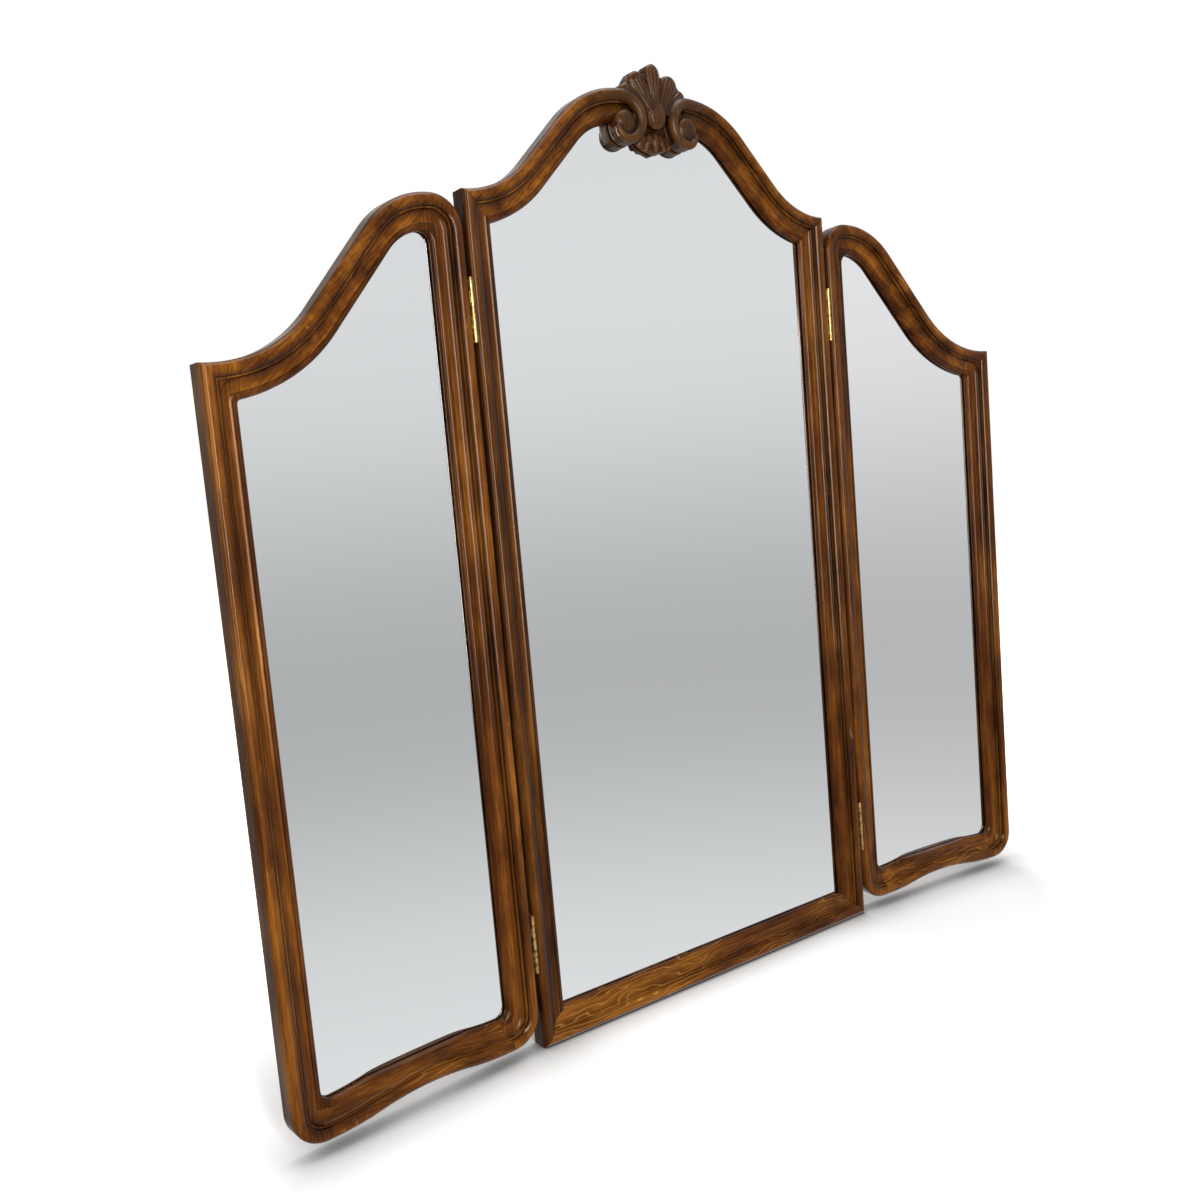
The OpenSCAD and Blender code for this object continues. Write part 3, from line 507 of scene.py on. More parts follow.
@dataclass(frozen=True)
class Metal(Finish):
    """Bare metal with stains. Its roughness is the least one and what the stains add."""

    bright: Colour
    dull: Colour
    stain_scale: float
    stain_detail: float
    stain_edges: Point2
    roughness: Point2

    def material(self) -> Material:
        """Build the material.

        Returns:
            The material.
        """
        tree = NodeTree.material(self.name)
        stain = tree.noise(tree.place(), self.stain_scale, self.stain_detail)
        colour = tree.ramp(stain, list(zip(self.stain_edges, (self.dull, self.bright))))
        rough = tree.math("ADD", self.roughness[0], tree.times(stain, self.roughness[1]))
        return tree.surface(in_Base_Color=colour, in_Roughness=rough, in_Metallic=1.0)


@dataclass(frozen=True)
class PlainWood(Finish):
    """Wood or board with no moulding."""

    dark: Colour
    light: Colour
    speck: float = 260.0

    def material(self) -> Material:
        """Build the material.

        Returns:
            The material.
        """
        tree = NodeTree.material(self.name)
        place = tree.place()
        specks = tree.noise(place, self.speck, 5.0, 0.7)
        tone = tree.weighted((specks, 0.6), (tree.noise(place, 7.0, 3.0), 0.4))
        colour = tree.ramp(tone, [(0.38, self.dark), (0.62, self.light)])
        bump = tree.add("Bump", in_Strength=0.2, in_Distance=0.0004, in_Height=specks)
        return tree.surface(in_Base_Color=colour, in_Roughness=0.75, in_Normal=bump.outputs[0])


BRASS = Metal("brass", (0.52, 0.36, 0.13), (0.20, 0.125, 0.045), 220.0, 4.0, (0.38, 0.58), (0.22, 0.25))
STEEL = Metal("steel", (0.60, 0.60, 0.58), (0.30, 0.29, 0.27), 160.0, 5.0, (0.35, 0.62), (0.25, 0.3))
BOARD = PlainWood("backing_board", (0.13, 0.070, 0.032), (0.24, 0.145, 0.075))
DOWEL = PlainWood("dowel_wood", (0.5, 0.36, 0.2), (0.7, 0.54, 0.34))


# Outlines of the frames


def arc(centre: Point2, radius: float, start: float, end: float, steps: int = 24) -> list[Point2]:
    """Points on an arc in the frame's plane.

    Args:
        centre: Middle of the arc.
        radius: Its radius.
        start: First angle, in degrees from the level line.
        end: Last angle.
        steps: Number of chords.

    Returns:
        The points.
    """
    angles = [math.radians(start + (end - start) * i / steps) for i in range(steps + 1)]
    return [(centre[0] + radius * math.cos(a), centre[1] + radius * math.sin(a)) for a in angles]


def both_halves(half: tuple[Point2, ...]) -> list[Point2]:
    """An outline from its right half, whose first point is on the middle line."""
    return [*half, *((-x, z) for x, z in reversed(half[1:]))]


def slope_angle(hollow: Point2, hollow_r: float, peak: Point2, peak_r: float) -> float:
    """The slope of the line that touches a hollow arc from below and a round arc from above."""
    dx, dz = hollow[0] - peak[0], hollow[1] - peak[1]
    return math.degrees(math.asin((hollow_r + peak_r) / math.hypot(dx, dz)) - math.atan2(dz, dx))


def from_seam(seam: Seam, u: np.ndarray, z: np.ndarray) -> np.ndarray:
    """How far points in a frame's plane lie from the line of a seam, with its sign.

    Args:
        seam: Two points of the line.
        u: Places across the frame.
        z: Heights.

    Returns:
        One distance for each point.
    """
    (ax, az), (bx, bz) = seam
    length = math.hypot(bx - ax, bz - az)
    return ((u - ax) * (bz - az) - (z - az) * (bx - ax)) / length


def from_outline(points: list[Point2], u: np.ndarray, z: np.ndarray) -> np.ndarray:
    """How far points in a frame's plane lie from its outer line.

    Args:
        points: The corners of the outer line, in order.
        u: Places across the frame.
        z: Heights.

    Returns:
        One distance for each point.
    """
    best = np.full(len(u), 1.0)
    for (ax, az), (bx, bz) in zip(points, points[1:] + points[:1]):
        ex, ez = bx - ax, bz - az
        square = ex * ex + ez * ez
        if square < 1e-14:
            continue
        t = np.clip(((u - ax) * ex + (z - az) * ez) / square, 0.0, 1.0)
        best = np.minimum(best, np.hypot(u - ax - t * ex, z - az - t * ez))
    return best


# Frames and their mirrors


@dataclass
class Workshop:
    """What all sub-assemblies share: the CAD nodes and the finishes."""

    nodes: dict[str, Object]
    merge_gap: float = 2e-6
    smooth_angle: float = 32.0
    materials: dict[str, Material] = field(default_factory=dict)

    def finish(self, finish: Finish) -> Material:
        """The material of a finish, built once for each name.

        Args:
            finish: The finish.

        Returns:
            The material.
        """
        if finish.name not in self.materials:
            self.materials[finish.name] = finish.material()
        return self.materials[finish.name]

    def dress_node(self, node: str, finish: Finish) -> None:
        """Give a CAD node that is shown as it is a better material.

        Args:
            node: The CAD node.
            finish: Its finish.
        """
        material = self.finish(finish)
        for slot in self.nodes[node].material_slots:
            slot.material = material
        LOG.info("node %s keeps its CAD mesh, finish %s", node, finish.name)

    def smooth_copy(self, node: str, name: str, body: str, slot: str) -> Object:
        """Copy a CAD node's mesh, merge its loose faces and shade it smooth.

        Args:
            node: The CAD node that the copy stands for.
            name: The new piece's name.
            body: The body it moves with.
            slot: Not used.

        Returns:
            The new piece.
        """
        obj = add_object(name, self.nodes[node].data.copy())
        obj.data.name = name
        select_only(obj)
        bpy.ops.mesh.customdata_custom_splitnormals_clear()
        with editing_all():
            bpy.ops.mesh.remove_doubles(threshold=self.merge_gap)
        bpy.ops.object.shade_smooth_by_angle(angle=math.radians(self.smooth_angle))
        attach(obj, body)
        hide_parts(node)
        return obj


@dataclass
class MouldedFrame:
    """What the centre frame and the wings have in common: moulded rails round a mirror."""

    shop: Workshop
    body: str

    def outline(self) -> list[Point2]:
        """The frame's outer line in its own plane, which each kind of frame draws."""
        raise NotImplementedError

    def laid_flat(self, places: np.ndarray) -> np.ndarray:
        """Points of the model in the frame's own plane, which is the model's unless it is turned."""
        return places

    def rail(self, node: str, grain: Grain, shift: Point3, seams: tuple[Seam, Seam], figure: float = 0.08,
             glaze_and_painted_light: float = 1.0, shade: float = 1.0) -> None:
        """Make one moulded rail.

        Args:
            node: The rail's CAD node.
            grain: The direction of its grain.
            shift: Where in the wood its pattern starts.
            seams: The seams at its two ends.
            figure: How strongly its growth lines show.
            glaze_and_painted_light: How strongly the stain and the painted shade and highlights of its
                moulding show.
            shade: How much a painted shadow darkens its wood.
        """
        obj = self.shop.smooth_copy(node, node + "_wood", self.body, "moulded_wood")
        u, depth, z = self.laid_flat(vertex_array(obj)).T
        store_values(obj, "across", from_outline(self.outline(), u, z))
        store_values(obj, "depth", depth)
        for name, seam in zip(("first_end", "last_end"), seams):
            store_values(obj, name, from_seam(seam, u, z))
        dress(obj, self.shop.finish(MouldedWood(f"moulded_{node}", grain, shift, figure, glaze_and_painted_light, shade)))
        apply_modifier(obj, "WEIGHTED_NORMAL", keep_sharp=True, weight=100)
        LOG.info("%s made, %d faces", obj.name, len(obj.data.polygons))

    def fill(self, turn: float, tone: Colour) -> None:
        """Make the mirror, with its silver behind the front of its glass, and dress what holds it.

        Args:
            turn: The frame's turn about the upright line, in degrees.
            tone: The colour of the silver.
        """
        glass = f"{self.body}_mirror_glass"
        obj = self.shop.smooth_copy(glass, glass + "_silver", self.body, "mirror")
        ahead = Vector((math.sin(math.radians(turn)), -math.cos(math.radians(turn)), 0.0))
        select_only(obj)
        bpy.ops.object.mode_set(mode="EDIT")
        bpy.ops.mesh.select_all(action="DESELECT")
        bpy.ops.object.mode_set(mode="OBJECT")
        for polygon in obj.data.polygons:
            polygon.select = polygon.normal.dot(ahead) > 0.99
        bpy.ops.object.mode_set(mode="EDIT")
        bpy.ops.transform.translate(value=ahead * -SILVER_DEPTH)
        bpy.ops.object.mode_set(mode="OBJECT")
        dress(obj, self.shop.finish(Silvering(f"{self.body}_silver", tone)))
        LOG.info("%s made", obj.name)
        for part, finish in (("backing_board", BOARD), ("board_screws", STEEL), ("dowels", DOWEL)):
            self.shop.dress_node(f"{self.body}_{part}", finish)


@dataclass
class CentreFrame(MouldedFrame):
    """The standing frame: two stiles, two arch rails, a bottom rail, its glass and its board."""

    half_width: float = 0.282
    corner_height: float = 1.005
    arch_height: float = 1.138
    crest_half: float = 0.050
    arch_radius: float = 0.125
    hollow_radius: float = 0.120
    face_width: float = 0.0385
    mitre_height: float = 0.97125
    silver: Colour = (0.80, 0.82, 0.83)

    def outline(self) -> list[Point2]:
        """Draw the frame's outer line.

        Returns:
            Its points.
        """
        peak = (self.crest_half, self.arch_height - self.arch_radius)
        hollow = (self.half_width, self.corner_height + self.hollow_radius)
        slope = slope_angle(hollow, self.hollow_radius, peak, self.arch_radius)
        half = [*arc(peak, self.arch_radius, 90.0, 90.0 - slope),
                *arc(hollow, self.hollow_radius, 270.0 - slope, 270.0), (self.half_width, 0.0)]
        return half + [(-x, z) for x, z in reversed(half)]

    def mitres(self, side: Side) -> tuple[Seam, Seam]:
        """The lower and the upper mitre seam of a stile.

        Args:
            side: The stile's side.

        Returns:
            The two seams.
        """
        outer = side.value * self.half_width
        inner = side.value * (self.half_width - self.face_width)
        return (((outer, 0.0), (inner, self.face_width)),
                ((outer, self.corner_height), (inner, self.mitre_height)))

    def build(self) -> None:
        """Make and dress the frame."""
        left, right = self.mitres(Side.LEFT), self.mitres(Side.RIGHT)
        # The left stile is darkened to 0.6: a painted shadow of the left wing.
        self.rail("left_stile", Grain.UPRIGHT, (0.31, 0.02, 0.0), left, shade=0.6)
        self.rail("right_stile", Grain.UPRIGHT, (-0.23, 0.03, 0.4), right)
        self.rail("left_arch_rail", Grain.RISING, (0.1, 0.01, 0.0), (left[1], left[1]))
        self.rail("right_arch_rail", Grain.FALLING, (0.2, 0.03, 0.1), (right[1], right[1]))
        self.rail("bottom_rail", Grain.LEVEL, (0.0, 0.02, 0.03), (left[0], right[0]), 0.55, 0.45)
        self.fill(0.0, self.silver)
        for side in Side:
            self.shop.dress_node(f"{side.word}_keyhole_hanger", STEEL)
            self.shop.dress_node(f"{side.word}_frame_hinge_screws", BRASS)
            for level in ("upper", "lower"):
                self.shop.dress_node(f"{side.word}_{level}_hinge_frame_leaf", BRASS)
                self.shop.dress_node(f"{side.word}_{level}_hinge_pin", BRASS)
        self.shop.dress_node("keyhole_hanger_screws", STEEL)


@dataclass
class Wing(MouldedFrame):
    """One hinged side mirror: two stiles, a shaped top rail, a waved bottom rail and its glass."""

    side: Side
    width: float = 0.315
    corner_height: float = 0.816
    peak_height: float = 0.997
    peak_radius: float = 0.105
    hollow_radius: float = 0.154
    hollow_inset: float = 0.005
    shoulder_radius: float = 0.038
    foot_radius: float = 0.037
    clearance: float = 0.014
    wave_rise: float = 0.010
    wave_inset: float = 0.043
    shoulder_seam: Seam = ((0.038, 0.997), (0.05477, 0.95635))
    ear_seam: Seam = ((0.274, 0.80), (0.274, 0.86))
    inner_foot_seam: Seam = ((0.038, 0.014), (0.052, 0.0525))
    outer_foot_seam: Seam = ((0.277, 0.014), (0.263, 0.0525))
    pin: Point2 = (0.2835, -0.011)
    pin_gap: float = 0.0015
    opening: float = 5.0
    # The wings' silvers are a little darker on the left and lighter on the right than the centre's: painted
    # reflected light, which sets how bright each pane looks.
    left_silver: Colour = (0.775, 0.795, 0.805)
    right_silver: Colour = (0.855, 0.87, 0.88)

    def outline(self) -> list[Point2]:
        """Draw the wing's outer line, in its own plane, from its hinge edge.

        Returns:
            Its points.
        """
        shoulder = self.shoulder_radius
        peak = (shoulder, self.peak_height - self.peak_radius)
        hollow = (self.width - self.hollow_inset, self.corner_height + self.hollow_radius)
        slope = slope_angle(hollow, self.hollow_radius, peak, self.peak_radius)
        shoulder_centre = (shoulder, peak[1] + self.peak_radius - shoulder)
        end = math.degrees(math.asin((self.width - hollow[0]) / self.hollow_radius))
        foot, low = self.foot_radius, self.clearance
        half = (self.width - 2 * self.wave_inset) / 2
        wave = (half * half + self.wave_rise ** 2) / (4 * self.wave_rise)
        turn = math.degrees(math.asin(half / 2 / wave))
        return [
            *arc((foot, low + foot), foot, 270.0, 180.0, 12),
            *arc(shoulder_centre, shoulder, 180.0, 90.0, 12),
            *arc(peak, self.peak_radius, 90.0, 90.0 - slope),
            *arc(hollow, self.hollow_radius, 270.0 - slope, 270.0 + end),
            *arc((self.width - foot, low + foot), foot, 0.0, -90.0, 12),
            *arc((self.width - self.wave_inset, low + wave), wave, 270.0, 270.0 - turn, 8),
            *arc((self.width / 2, low + self.wave_rise - wave), wave, 90.0 - turn, 90.0 + turn, 16),
            *arc((self.wave_inset, low + wave), wave, 270.0 + turn, 270.0, 8),
        ]

    def laid_flat(self, places: np.ndarray) -> np.ndarray:
        """Turn points of the model back into the wing's own plane.

        Args:
            places: Points in the model's frame.

        Returns:
            How far each lies from the hinge edge, its depth and its height.
        """
        turn = math.radians(self.opening)
        x = self.side.value * places[:, 0] - self.pin[0]
        y = places[:, 1] - self.pin[1]
        u = x * math.cos(turn) - y * math.sin(turn) - self.pin_gap
        depth = x * math.sin(turn) + y * math.cos(turn) + self.pin[1]
        return np.column_stack((u, depth, places[:, 2]))

    def build(self) -> None:
        """Make and dress the wing."""
        left = self.side is Side.LEFT
        start = 0.1 * self.side.value
        self.rail(f"{self.body}_inner_stile", Grain.UPRIGHT, (start, 0.03, 0.2),
                  (self.shoulder_seam, self.inner_foot_seam))
        self.rail(f"{self.body}_outer_stile", Grain.UPRIGHT, (2 * start, 0.02, 0.7),
                  (self.ear_seam, self.outer_foot_seam))
        self.rail(f"{self.body}_top_rail", Grain.RISING if left else Grain.FALLING, (start, 0.015, 0.1),
                  (self.shoulder_seam, self.ear_seam))
        self.rail(f"{self.body}_bottom_rail", Grain.LEVEL, (start, 0.025, 0.05),
                  (self.inner_foot_seam, self.outer_foot_seam), 0.45, 0.45)
        self.fill(-self.side.value * self.opening, self.left_silver if left else self.right_silver)
        self.shop.dress_node(f"{self.body}_hinge_screws", BRASS)
        for level in ("upper", "lower"):
            self.shop.dress_node(f"{self.side.word}_{level}_hinge_wing_leaf", BRASS)


@dataclass
class Crest:
    """The carved crest: shell, boss, two scrolls and a drop of leaves, cut from one block."""

    shop: Workshop
    body: str = "centre"
    eye: Point2 = (0.048, 1.098)
    block_back: float = 0.0128
    block_face: float = -0.0010
    shell_back: float = 0.0078
    block_half: float = 0.050
    arch_top: float = 1.138
    arch_easing: float = 0.0012
    rebate_top: float = 1.1143
    voxel: float = 0.00078
    relief_depth: float = 0.0036
    disc_radius: float = 0.0150
    lobe_flat: float = 0.36
    lobe_sink: float = 0.0052
    lumps: list[Object] = field(default_factory=list)
    # Along a scroll's bead: turn about the eye, reach from it, half width and depth
    winding: tuple[tuple[float, float, float, float], ...] = (
        (27, 0.0525, 0.0070, -0.0058), (45, 0.0415, 0.0073, -0.0062), (66, 0.0348, 0.0076, -0.0070),
        (90, 0.0322, 0.0077, -0.0084), (112, 0.0302, 0.0077, -0.0100), (135, 0.0275, 0.0075, -0.0113),
        (158, 0.0252, 0.0072, -0.0121), (180, 0.0236, 0.0069, -0.0125), (210, 0.0222, 0.0064, -0.0127),
        (240, 0.0212, 0.0060, -0.0128), (270, 0.0202, 0.0055, -0.0127), (295, 0.0186, 0.0048, -0.0124),
        (318, 0.0162, 0.0042, -0.0118), (340, 0.0130, 0.0034, -0.0108))
    # Round the drum under a scroll: turn about the eye and reach from it
    drum: tuple[Point2, ...] = (
        (160, 0.0292), (180, 0.0288), (200, 0.0276), (220, 0.0266), (240, 0.0258), (260, 0.0248),
        (280, 0.0234), (300, 0.0214), (320, 0.0192), (340, 0.0172), (0, 0.0160), (25, 0.0156),
        (50, 0.0155), (75, 0.0156), (100, 0.0160), (125, 0.0170), (145, 0.0205))
    # Right half of the shell's ground, from its top
    shell_half: tuple[Point2, ...] = (
        (0.0, 1.1690), (0.0068, 1.1655), (0.0105, 1.1600), (0.0150, 1.1585), (0.0215, 1.1605),
        (0.0300, 1.1600), (0.0385, 1.1520), (0.0415, 1.1470), (0.0470, 1.1400), (0.0490, 1.1300),
        (0.0300, 1.1180))
    # Right half of the ground below the boss, from its foot
    drop_half: tuple[Point2, ...] = (
        (0.0, 1.066), (0.008, 1.069), (0.016, 1.071), (0.030, 1.080), (0.030, 1.118))
    # Up the boss: depth, height and half width
    boss: tuple[Point3, ...] = (
        (-0.0080, 1.0955, 0.0060), (-0.0086, 1.0985, 0.0115), (-0.0088, 1.1035, 0.0150),
        (-0.0082, 1.1100, 0.0165), (-0.0072, 1.1180, 0.0155), (-0.0064, 1.1260, 0.0130),
        (-0.0058, 1.1340, 0.0100), (-0.0052, 1.1420, 0.0060))
    # Along a lobe of the shell: share of its length and of its half width
    lobe_form: tuple[Point2, ...] = (
        (0.0, 0.45), (0.25, 0.66), (0.5, 0.86), (0.72, 1.0), (0.86, 0.95), (0.95, 0.70), (1.0, 0.25))
    ridge_radii: tuple[float, ...] = (0.0009, 0.0013, 0.0018, 0.0019, 0.0012)

    def keep(self, obj: Object) -> None:
        """Put a lump's place in its mesh and keep it for the block."""
        apply_place(obj)
        self.lumps.append(obj)

    def ball(self, centre: Point3, radii: Point3, lean: float = 0.0) -> None:
        """Add an egg-shaped lump.

        Args:
            centre: Its middle.
            radii: Its half sizes.
            lean: Its lean to the right from upright, in degrees.
        """
        bpy.ops.mesh.primitive_uv_sphere_add(segments=40, ring_count=24, location=centre,
                                             rotation=(0.0, math.radians(lean), 0.0), scale=radii)
        self.keep(bpy.context.active_object)

    def tube(self, path: list[Point3], radii: list[float], flat: float) -> None:
        """Add a lump along a line: a tapered tube, flattened from front to back.

        Args:
            path: Points of its middle line.
            radii: Half width at each point.
            flat: Its height from front to back over its width.
        """
        curve = bpy.data.curves.new("carver_line", "CURVE")
        curve.dimensions = "3D"
        curve.bevel_depth = 1.0
        curve.bevel_resolution = 5
        curve.use_fill_caps = True
        spline = curve.splines.new("NURBS")
        spline.points.add(len(path) - 1)
        for point, (x, y, z), radius in zip(spline.points, path, radii):
            point.co = (x, y / flat, z, 1.0)
            point.radius = radius
        spline.order_u = 4
        spline.use_endpoint_u = True
        spline.resolution_u = 6
        select_only(add_object("carver_lump", curve))
        bpy.ops.object.convert(target="MESH")
        obj = bpy.context.active_object
        obj.scale = (1.0, flat, 1.0)
        self.keep(obj)

    def slab(self, outline: list[Point2], front: float, soften: float, back: float = CARVING_BACK) -> None:
        """Add a flat-fronted part of the block.

        Args:
            outline: Its outline in the frame's plane.
            front: Depth of its face.
            soften: Width of its eased edges.
            back: Depth of its back.
        """
        bpy.ops.mesh.primitive_circle_add(vertices=len(outline), radius=0.01, fill_type="NGON",
                                          rotation=(math.radians(90.0), 0.0, 0.0))
        obj = bpy.context.active_object
        apply_place(obj)
        for vertex, (x, z) in zip(obj.data.vertices, outline):
            vertex.co = (x, back, z)
        select_only(obj)
        with editing_all():
            bpy.ops.mesh.extrude_region_move(TRANSFORM_OT_translate={"value": (0.0, front - back, 0.0)})
            bpy.ops.mesh.select_all(action="SELECT")
            bpy.ops.mesh.normals_make_consistent(inside=False)
        if soften > 0.0:
            apply_modifier(obj, "BEVEL", width=soften, segments=3, limit_method="ANGLE",
                           angle_limit=math.radians(60.0))
        self.keep(obj)

    def about_eye(self, side: Side, turn: float, reach: float) -> Point2:
        """The point at an angle from the level line and a distance from a scroll's eye."""
        angle = math.radians(turn)
        return (side.value * (self.eye[0] + reach * math.cos(angle)), self.eye[1] + reach * math.sin(angle))

    def scroll(self, side: Side) -> None:
        """Carve one scroll: the arch's bead leaves the arch, winds round and ends in a broad eye.

        Args:
            side: Its side.
        """
        path = []
        for turn, reach, _, depth in self.winding:
            x, z = self.about_eye(side, turn, reach)
            path.append((x, depth, z))
        self.tube(path, [width for _, _, width, _ in self.winding], 0.95)
        under = self.winding[2:8]
        outer = [self.about_eye(side, turn, reach + 0.8 * width) for turn, reach, width, _ in under]
        inner = [self.about_eye(side, turn, reach - 0.8 * width) for turn, reach, width, _ in under]
        self.slab(outer + inner[::-1], -0.0085, 0.001)
        self.slab([self.about_eye(side, turn, reach) for turn, reach in self.drum], -0.0100, 0.0020)
        disc = [self.about_eye(side, turn, self.disc_radius) for turn in range(0, 360, 12)]
        self.slab(disc, -0.0122, 0.0040)
        x, z = side.value * self.eye[0], self.eye[1]
        self.ball((x, -0.0098, z), (0.0152, 0.0064, 0.0152))
        self.slab([(x * 1.045, z), (x * 1.045, 1.131), (x * 0.60, 1.131), (x * 0.40, 1.112),
                   (x * 0.40, z)], -0.0012, 0.0)

    def lobe(self, side: Side, root: Point2, tip: Point2, width: float, front: float, ridges: int) -> None:
        """Carve one lobe of the shell.

        Args:
            side: Its side.
            root: Its narrow end, on the right.
            tip: Its rounded end, on the right.
            width: Its half width near the tip.
            front: Depth of its middle line.
            ridges: Number of ridges between its flutes.
        """
        ax, az = side.value * root[0], root[1]
        bx, bz = side.value * tip[0], tip[1]
        length = math.hypot(bx - ax, bz - az)
        dx, dz = (bx - ax) / length, (bz - az) / length
        swell = [share for _, share in self.lobe_form]
        path = [(ax + dx * length * s, az + dz * length * s) for s, _ in self.lobe_form]
        depths = [front - self.lobe_sink * (1.0 - s) ** 1.5 for s, _ in self.lobe_form]
        self.tube([(x, y, z) for (x, z), y in zip(path, depths)], [width * s for s in swell], self.lobe_flat)
        left = [(x - dz * width * w, z + dx * width * w) for (x, z), w in zip(path, swell)]
        right = [(x + dz * width * w, z - dx * width * w) for (x, z), w in zip(path, swell)]
        self.slab(left + right[::-1], front + 0.0006, 0.0012, self.shell_back)
        for i in range(ridges):
            offset = (i - (ridges - 1) / 2) / ridges * 1.35
            crown = 1 - 0.8 * offset * offset
            line = [(x - dz * width * w * offset, y - self.lobe_flat * width * w * crown,
                     z + dx * width * w * offset) for (x, z), w, y in list(zip(path, swell, depths))[:-2]]
            self.tube(line, list(self.ridge_radii), 0.75)

    def shell(self) -> None:
        """Carve the shell and the boss at its root."""
        self.slab(both_halves(self.shell_half), -0.0078, 0.0020, self.shell_back)
        self.lobe(Side.RIGHT, (0.0, 1.114), (0.0, 1.1720), 0.0112, -0.0084, 3)
        for side in Side:
            self.lobe(side, (0.006, 1.113), (0.0305, 1.1595), 0.0128, -0.0078, 4)
            self.lobe(side, (0.012, 1.114), (0.0480, 1.1420), 0.0100, -0.0070, 3)
        self.tube([(0.0, depth, z) for depth, z, _ in self.boss], [width for _, _, width in self.boss], 0.62)

    def leaf_drop(self) -> None:
        """Carve the ground below the boss and the small leaf on it."""
        self.slab(both_halves(self.drop_half), -0.0030, 0.0015)
        self.ball((0.0, -0.0030, 1.0800), (0.0066, 0.0066, 0.0118))
        for side in Side:
            self.ball((side.value * 0.0100, -0.0026, 1.0805), (0.0052, 0.0048, 0.0112), side.value * -26.0)
            self.ball((side.value * 0.0180, -0.0016, 1.0815), (0.0060, 0.0038, 0.0105), side.value * -44.0)

    def block(self) -> None:
        """Add the body of the block, which is as thick as the frame above the glass and its board."""
        half, low, top = self.block_half, self.rebate_top, self.arch_top - self.arch_easing
        corners = [(-half, low), (half, low), (half, top), (-half, top)]
        self.slab(corners, self.block_face, 0.0, self.block_back)

    def carve_block(self) -> Object:
        """Join the lumps into one block with one skin.

        Returns:
            The block.
        """
        deselect_all()
        for lump in self.lumps:
            lump.select_set(True)
        bpy.context.view_layer.objects.active = self.lumps[0]
        bpy.ops.object.join()
        obj = bpy.context.active_object
        obj.name = obj.data.name = "carved_crest_wood"
        obj.data.remesh_voxel_size = self.voxel
        obj.data.remesh_voxel_adaptivity = 0.0
        bpy.ops.object.voxel_remesh()
        apply_modifier(obj, "SMOOTH", factor=0.5, iterations=9)
        return obj

    def mark_relief(self, obj: Object) -> None:
        """Keep how high each place stands over the block's mean skin, for the stain, the painted shade in
        the cuts and the wear.

        Args:
            obj: The block.
        """
        ghost = add_object("relief_guide", obj.data.copy())
        apply_modifier(ghost, "SMOOTH", factor=0.5, iterations=70)
        above = vertex_array(obj) - vertex_array(ghost)
        height = (above * vertex_array(ghost, "normal")).sum(axis=1)
        store_values(obj, "relief", np.clip(0.5 + height / self.relief_depth, 0.0, 1.0))
        bpy.data.objects.remove(ghost)

    def build(self) -> None:
        """Make and dress the crest."""
        for side in Side:
            self.scroll(side)
        self.shell()
        self.leaf_drop()
        self.block()
        obj = self.carve_block()
        self.mark_relief(obj)
        select_only(obj)
        bpy.ops.object.shade_smooth()
        dress(obj, self.shop.finish(CarvedWood("carved_wood")))
        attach(obj, self.body)
        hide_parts("carved_crest")
        LOG.info("%s made, %d faces", obj.name, len(obj.data.polygons))


# The studio


@dataclass(frozen=True)
class Softbox:
    """A lamp: its place, what it faces, its width and height, and its power in watts."""

    name: str
    place: Point3
    aim: Point3
    size: Point2
    power: float
    colour: Colour = WHITE
    mirrored: bool = True

    def hang(self) -> None:
        """Put the lamp into the scene."""
        data = bpy.data.lights.new(self.name, "AREA")
        data.shape = "RECTANGLE"
        data.size, data.size_y = self.size
        data.energy = self.power
        data.color = self.colour
        lamp = add_object(self.name, data)
        lamp.location = self.place
        lamp.rotation_euler = (Vector(self.aim) - Vector(self.place)).to_track_quat("-Z", "Y").to_euler()
        lamp.visible_glossy = self.mirrored


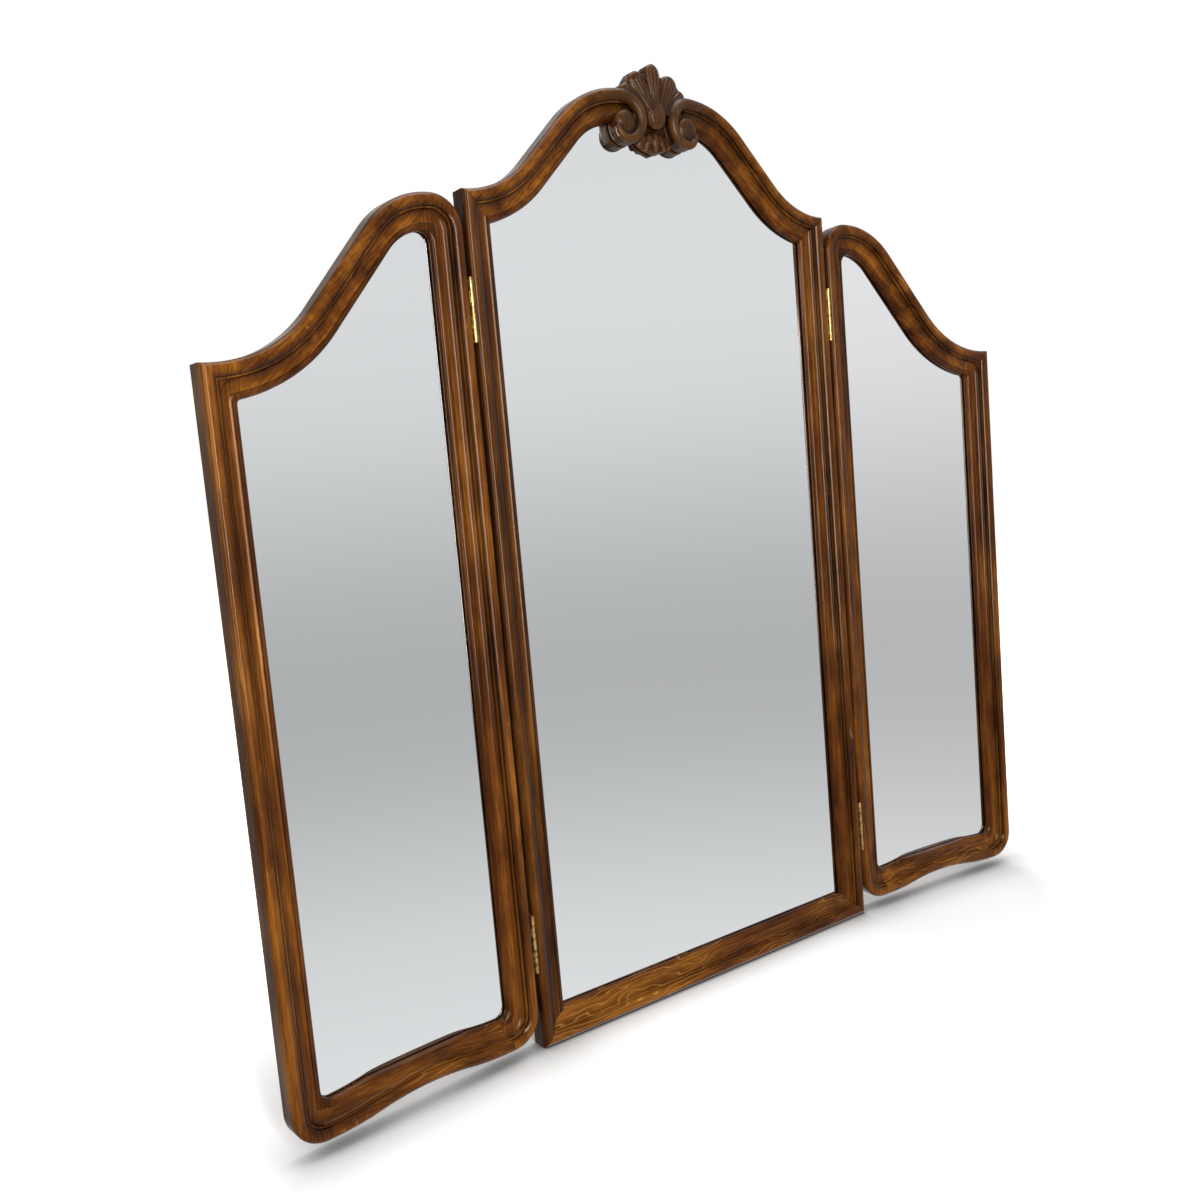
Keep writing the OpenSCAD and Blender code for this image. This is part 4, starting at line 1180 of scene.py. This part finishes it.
@dataclass
class Studio:
    """Pale floor, soft light and the camera."""

    camera_place: Point3 = (-0.9143, -1.1269, 0.6796)
    heading: float = 34.53
    pitch: float = 6.43
    roll: float = 4.95
    lens: float = 33.58
    sensor: float = 36.0
    floor_size: float = 30.0
    floor_drop: float = 0.0004
    floor_grey: float = 0.80
    contact_reach: float = 0.075
    fade_reach: float = 3.0
    fade_stretch: Point3 = (1.0, 2.2, 1.0)
    soft_light: Colour = (0.27, 0.275, 0.285)
    wall_greys: tuple[Point2, ...] = (
        (0.0, 0.96), (0.12, 0.82), (0.19, 0.69), (0.26, 0.565), (0.34, 0.525), (0.42, 0.59),
        (0.50, 0.73), (0.57, 0.84), (0.65, 0.885), (0.76, 0.87), (1.0, 0.80))
    lamps: tuple[Softbox, ...] = (
        Softbox("key", (-2.5, -1.9, 1.05), (0.0, 0.0, 0.6), (0.30, 2.2), 40.0, (1.0, 0.95, 0.90)),
        Softbox("side", (-2.8, 0.8, 0.95), (-0.3, 0.0, 0.6), (0.30, 2.2), 14.0, (1.0, 0.93, 0.90)),
        Softbox("front", (-0.95, -2.95, 1.0), (-0.2, 0.0, 0.6), (0.32, 2.3), 124.0, (1.0, 0.98, 0.95)),
        Softbox("top", (0.0, -0.2, 3.0), (0.0, 0.0, 0.6), (2.0, 1.6), 42.0),
        Softbox("rear", (1.4, 3.0, 2.2), (0.0, 0.0, 0.5), (1.8, 1.8), 75.0, mirrored=False))

    def camera(self) -> None:
        """Set the camera at the photograph's viewing angle."""
        az, down_tilt, roll = (math.radians(v) for v in (self.heading, self.pitch, self.roll))
        ahead = Vector((math.sin(az) * math.cos(down_tilt), math.cos(az) * math.cos(down_tilt),
                        -math.sin(down_tilt)))
        level = Vector((math.cos(az), -math.sin(az), 0.0))
        down = ahead.cross(level)
        right = math.cos(roll) * level + math.sin(roll) * down
        below = -math.sin(roll) * level + math.cos(roll) * down
        turn = Matrix((right, -below, -ahead)).transposed()
        data = bpy.data.cameras.new("camera")
        data.lens = self.lens
        data.sensor_width = self.sensor
        camera = add_object("camera", data)
        camera.matrix_world = Matrix.Translation(self.camera_place) @ turn.to_4x4()
        bpy.context.scene.camera = camera

    def floor(self) -> None:
        """Lay the pale floor, which shows the lamps' shadows and a painted contact shadow close to the
        object and fades to white away from it.
        """
        deselect_all()
        bpy.ops.mesh.primitive_plane_add(size=self.floor_size, location=(0.0, 0.0, -self.floor_drop))
        floor = bpy.context.active_object
        floor.name = "floor"
        apply_place(floor)
        tree = NodeTree.material("floor")
        drawn = tree.add("VectorMath", operation="MULTIPLY", in_0=tree.place(), in_1=self.fade_stretch)
        distance = tree.add("VectorMath", operation="LENGTH", in_0=drawn.outputs[0]).outputs["Value"]
        fade = tree.ramp(tree.math("DIVIDE", distance, self.fade_reach), [(0.20, 0.04), (0.42, 1.0)])
        # Painted contact shadow: ambient occlusion darkens the floor's colour and its white glow close to
        # the object.
        near = tree.add("AmbientOcclusion", samples=16, in_Distance=self.contact_reach).outputs["AO"]
        shade = tree.ramp(near, [(0.10, 0.03), (0.45, 0.30), (0.75, 0.78), (0.97, 1.0)])
        diffuse = tree.add("BsdfDiffuse", in_Color=tree.mix("MULTIPLY", 1.0, (self.floor_grey,) * 3, shade))
        seen = tree.add("LightPath").outputs["Is Camera Ray"]
        white = tree.add("Emission", in_0=WHITE, in_Strength=tree.times(seen, tree.times(fade, shade)))
        dress(floor, tree.finish(tree.add("AddShader", in_0=diffuse.outputs[0], in_1=white.outputs[0])))
        floor.visible_glossy = False

    def world(self) -> None:
        """Fill the room with soft light, white to the camera and softly shaded in the mirrors."""
        world = bpy.data.worlds.new("room")
        bpy.context.scene.world = world
        tree = NodeTree(world)
        parts = tree.add("SeparateXYZ", in_0=tree.add("TexCoord").outputs["Generated"]).outputs
        height = tree.add("MapRange", in_Value=parts["Z"], in_From_Min=-0.5, in_From_Max=0.5)
        greys = [(stop, (grey * 0.995, grey * 0.995, grey)) for stop, grey in self.wall_greys]
        wall = tree.ramp(height.outputs["Result"], greys, "B_SPLINE")
        dim = tree.add("MapRange", in_Value=parts["X"], in_From_Min=-0.10, in_From_Max=0.18,
                       in_To_Min=0.40, in_To_Max=1.0)
        soft = tree.add("Background", in_Color=self.soft_light)
        room = tree.add("Background", in_Color=wall, in_Strength=dim.outputs["Result"])
        white = tree.add("Background", in_Color=WHITE)
        ray = tree.add("LightPath").outputs
        unseen = tree.add("MixShader", in_0=ray["Is Glossy Ray"], in_1=soft.outputs[0], in_2=room.outputs[0])
        mix = tree.add("MixShader", in_0=ray["Is Camera Ray"], in_1=unseen.outputs[0], in_2=white.outputs[0])
        tree.add("OutputWorld", in_0=mix.outputs[0])

    def build(self) -> None:
        """Set up the whole studio."""
        self.camera()
        self.floor()
        self.world()
        for lamp in self.lamps:
            lamp.hang()
        bpy.context.scene.view_settings.view_transform = "Standard"


def main() -> None:
    """Build the mirror's looks."""
    logging.basicConfig(level=logging.INFO, format="%(name)s: %(message)s")
    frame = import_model()
    deselect_all()
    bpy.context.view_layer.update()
    Studio().build()
    shop = Workshop(frame["nodes"])
    CentreFrame(shop, "centre").build()
    for side in Side:
        Wing(shop, f"{side.word}_wing", side).build()
    Crest(shop).build()


if __name__ == "__main__":
    main()
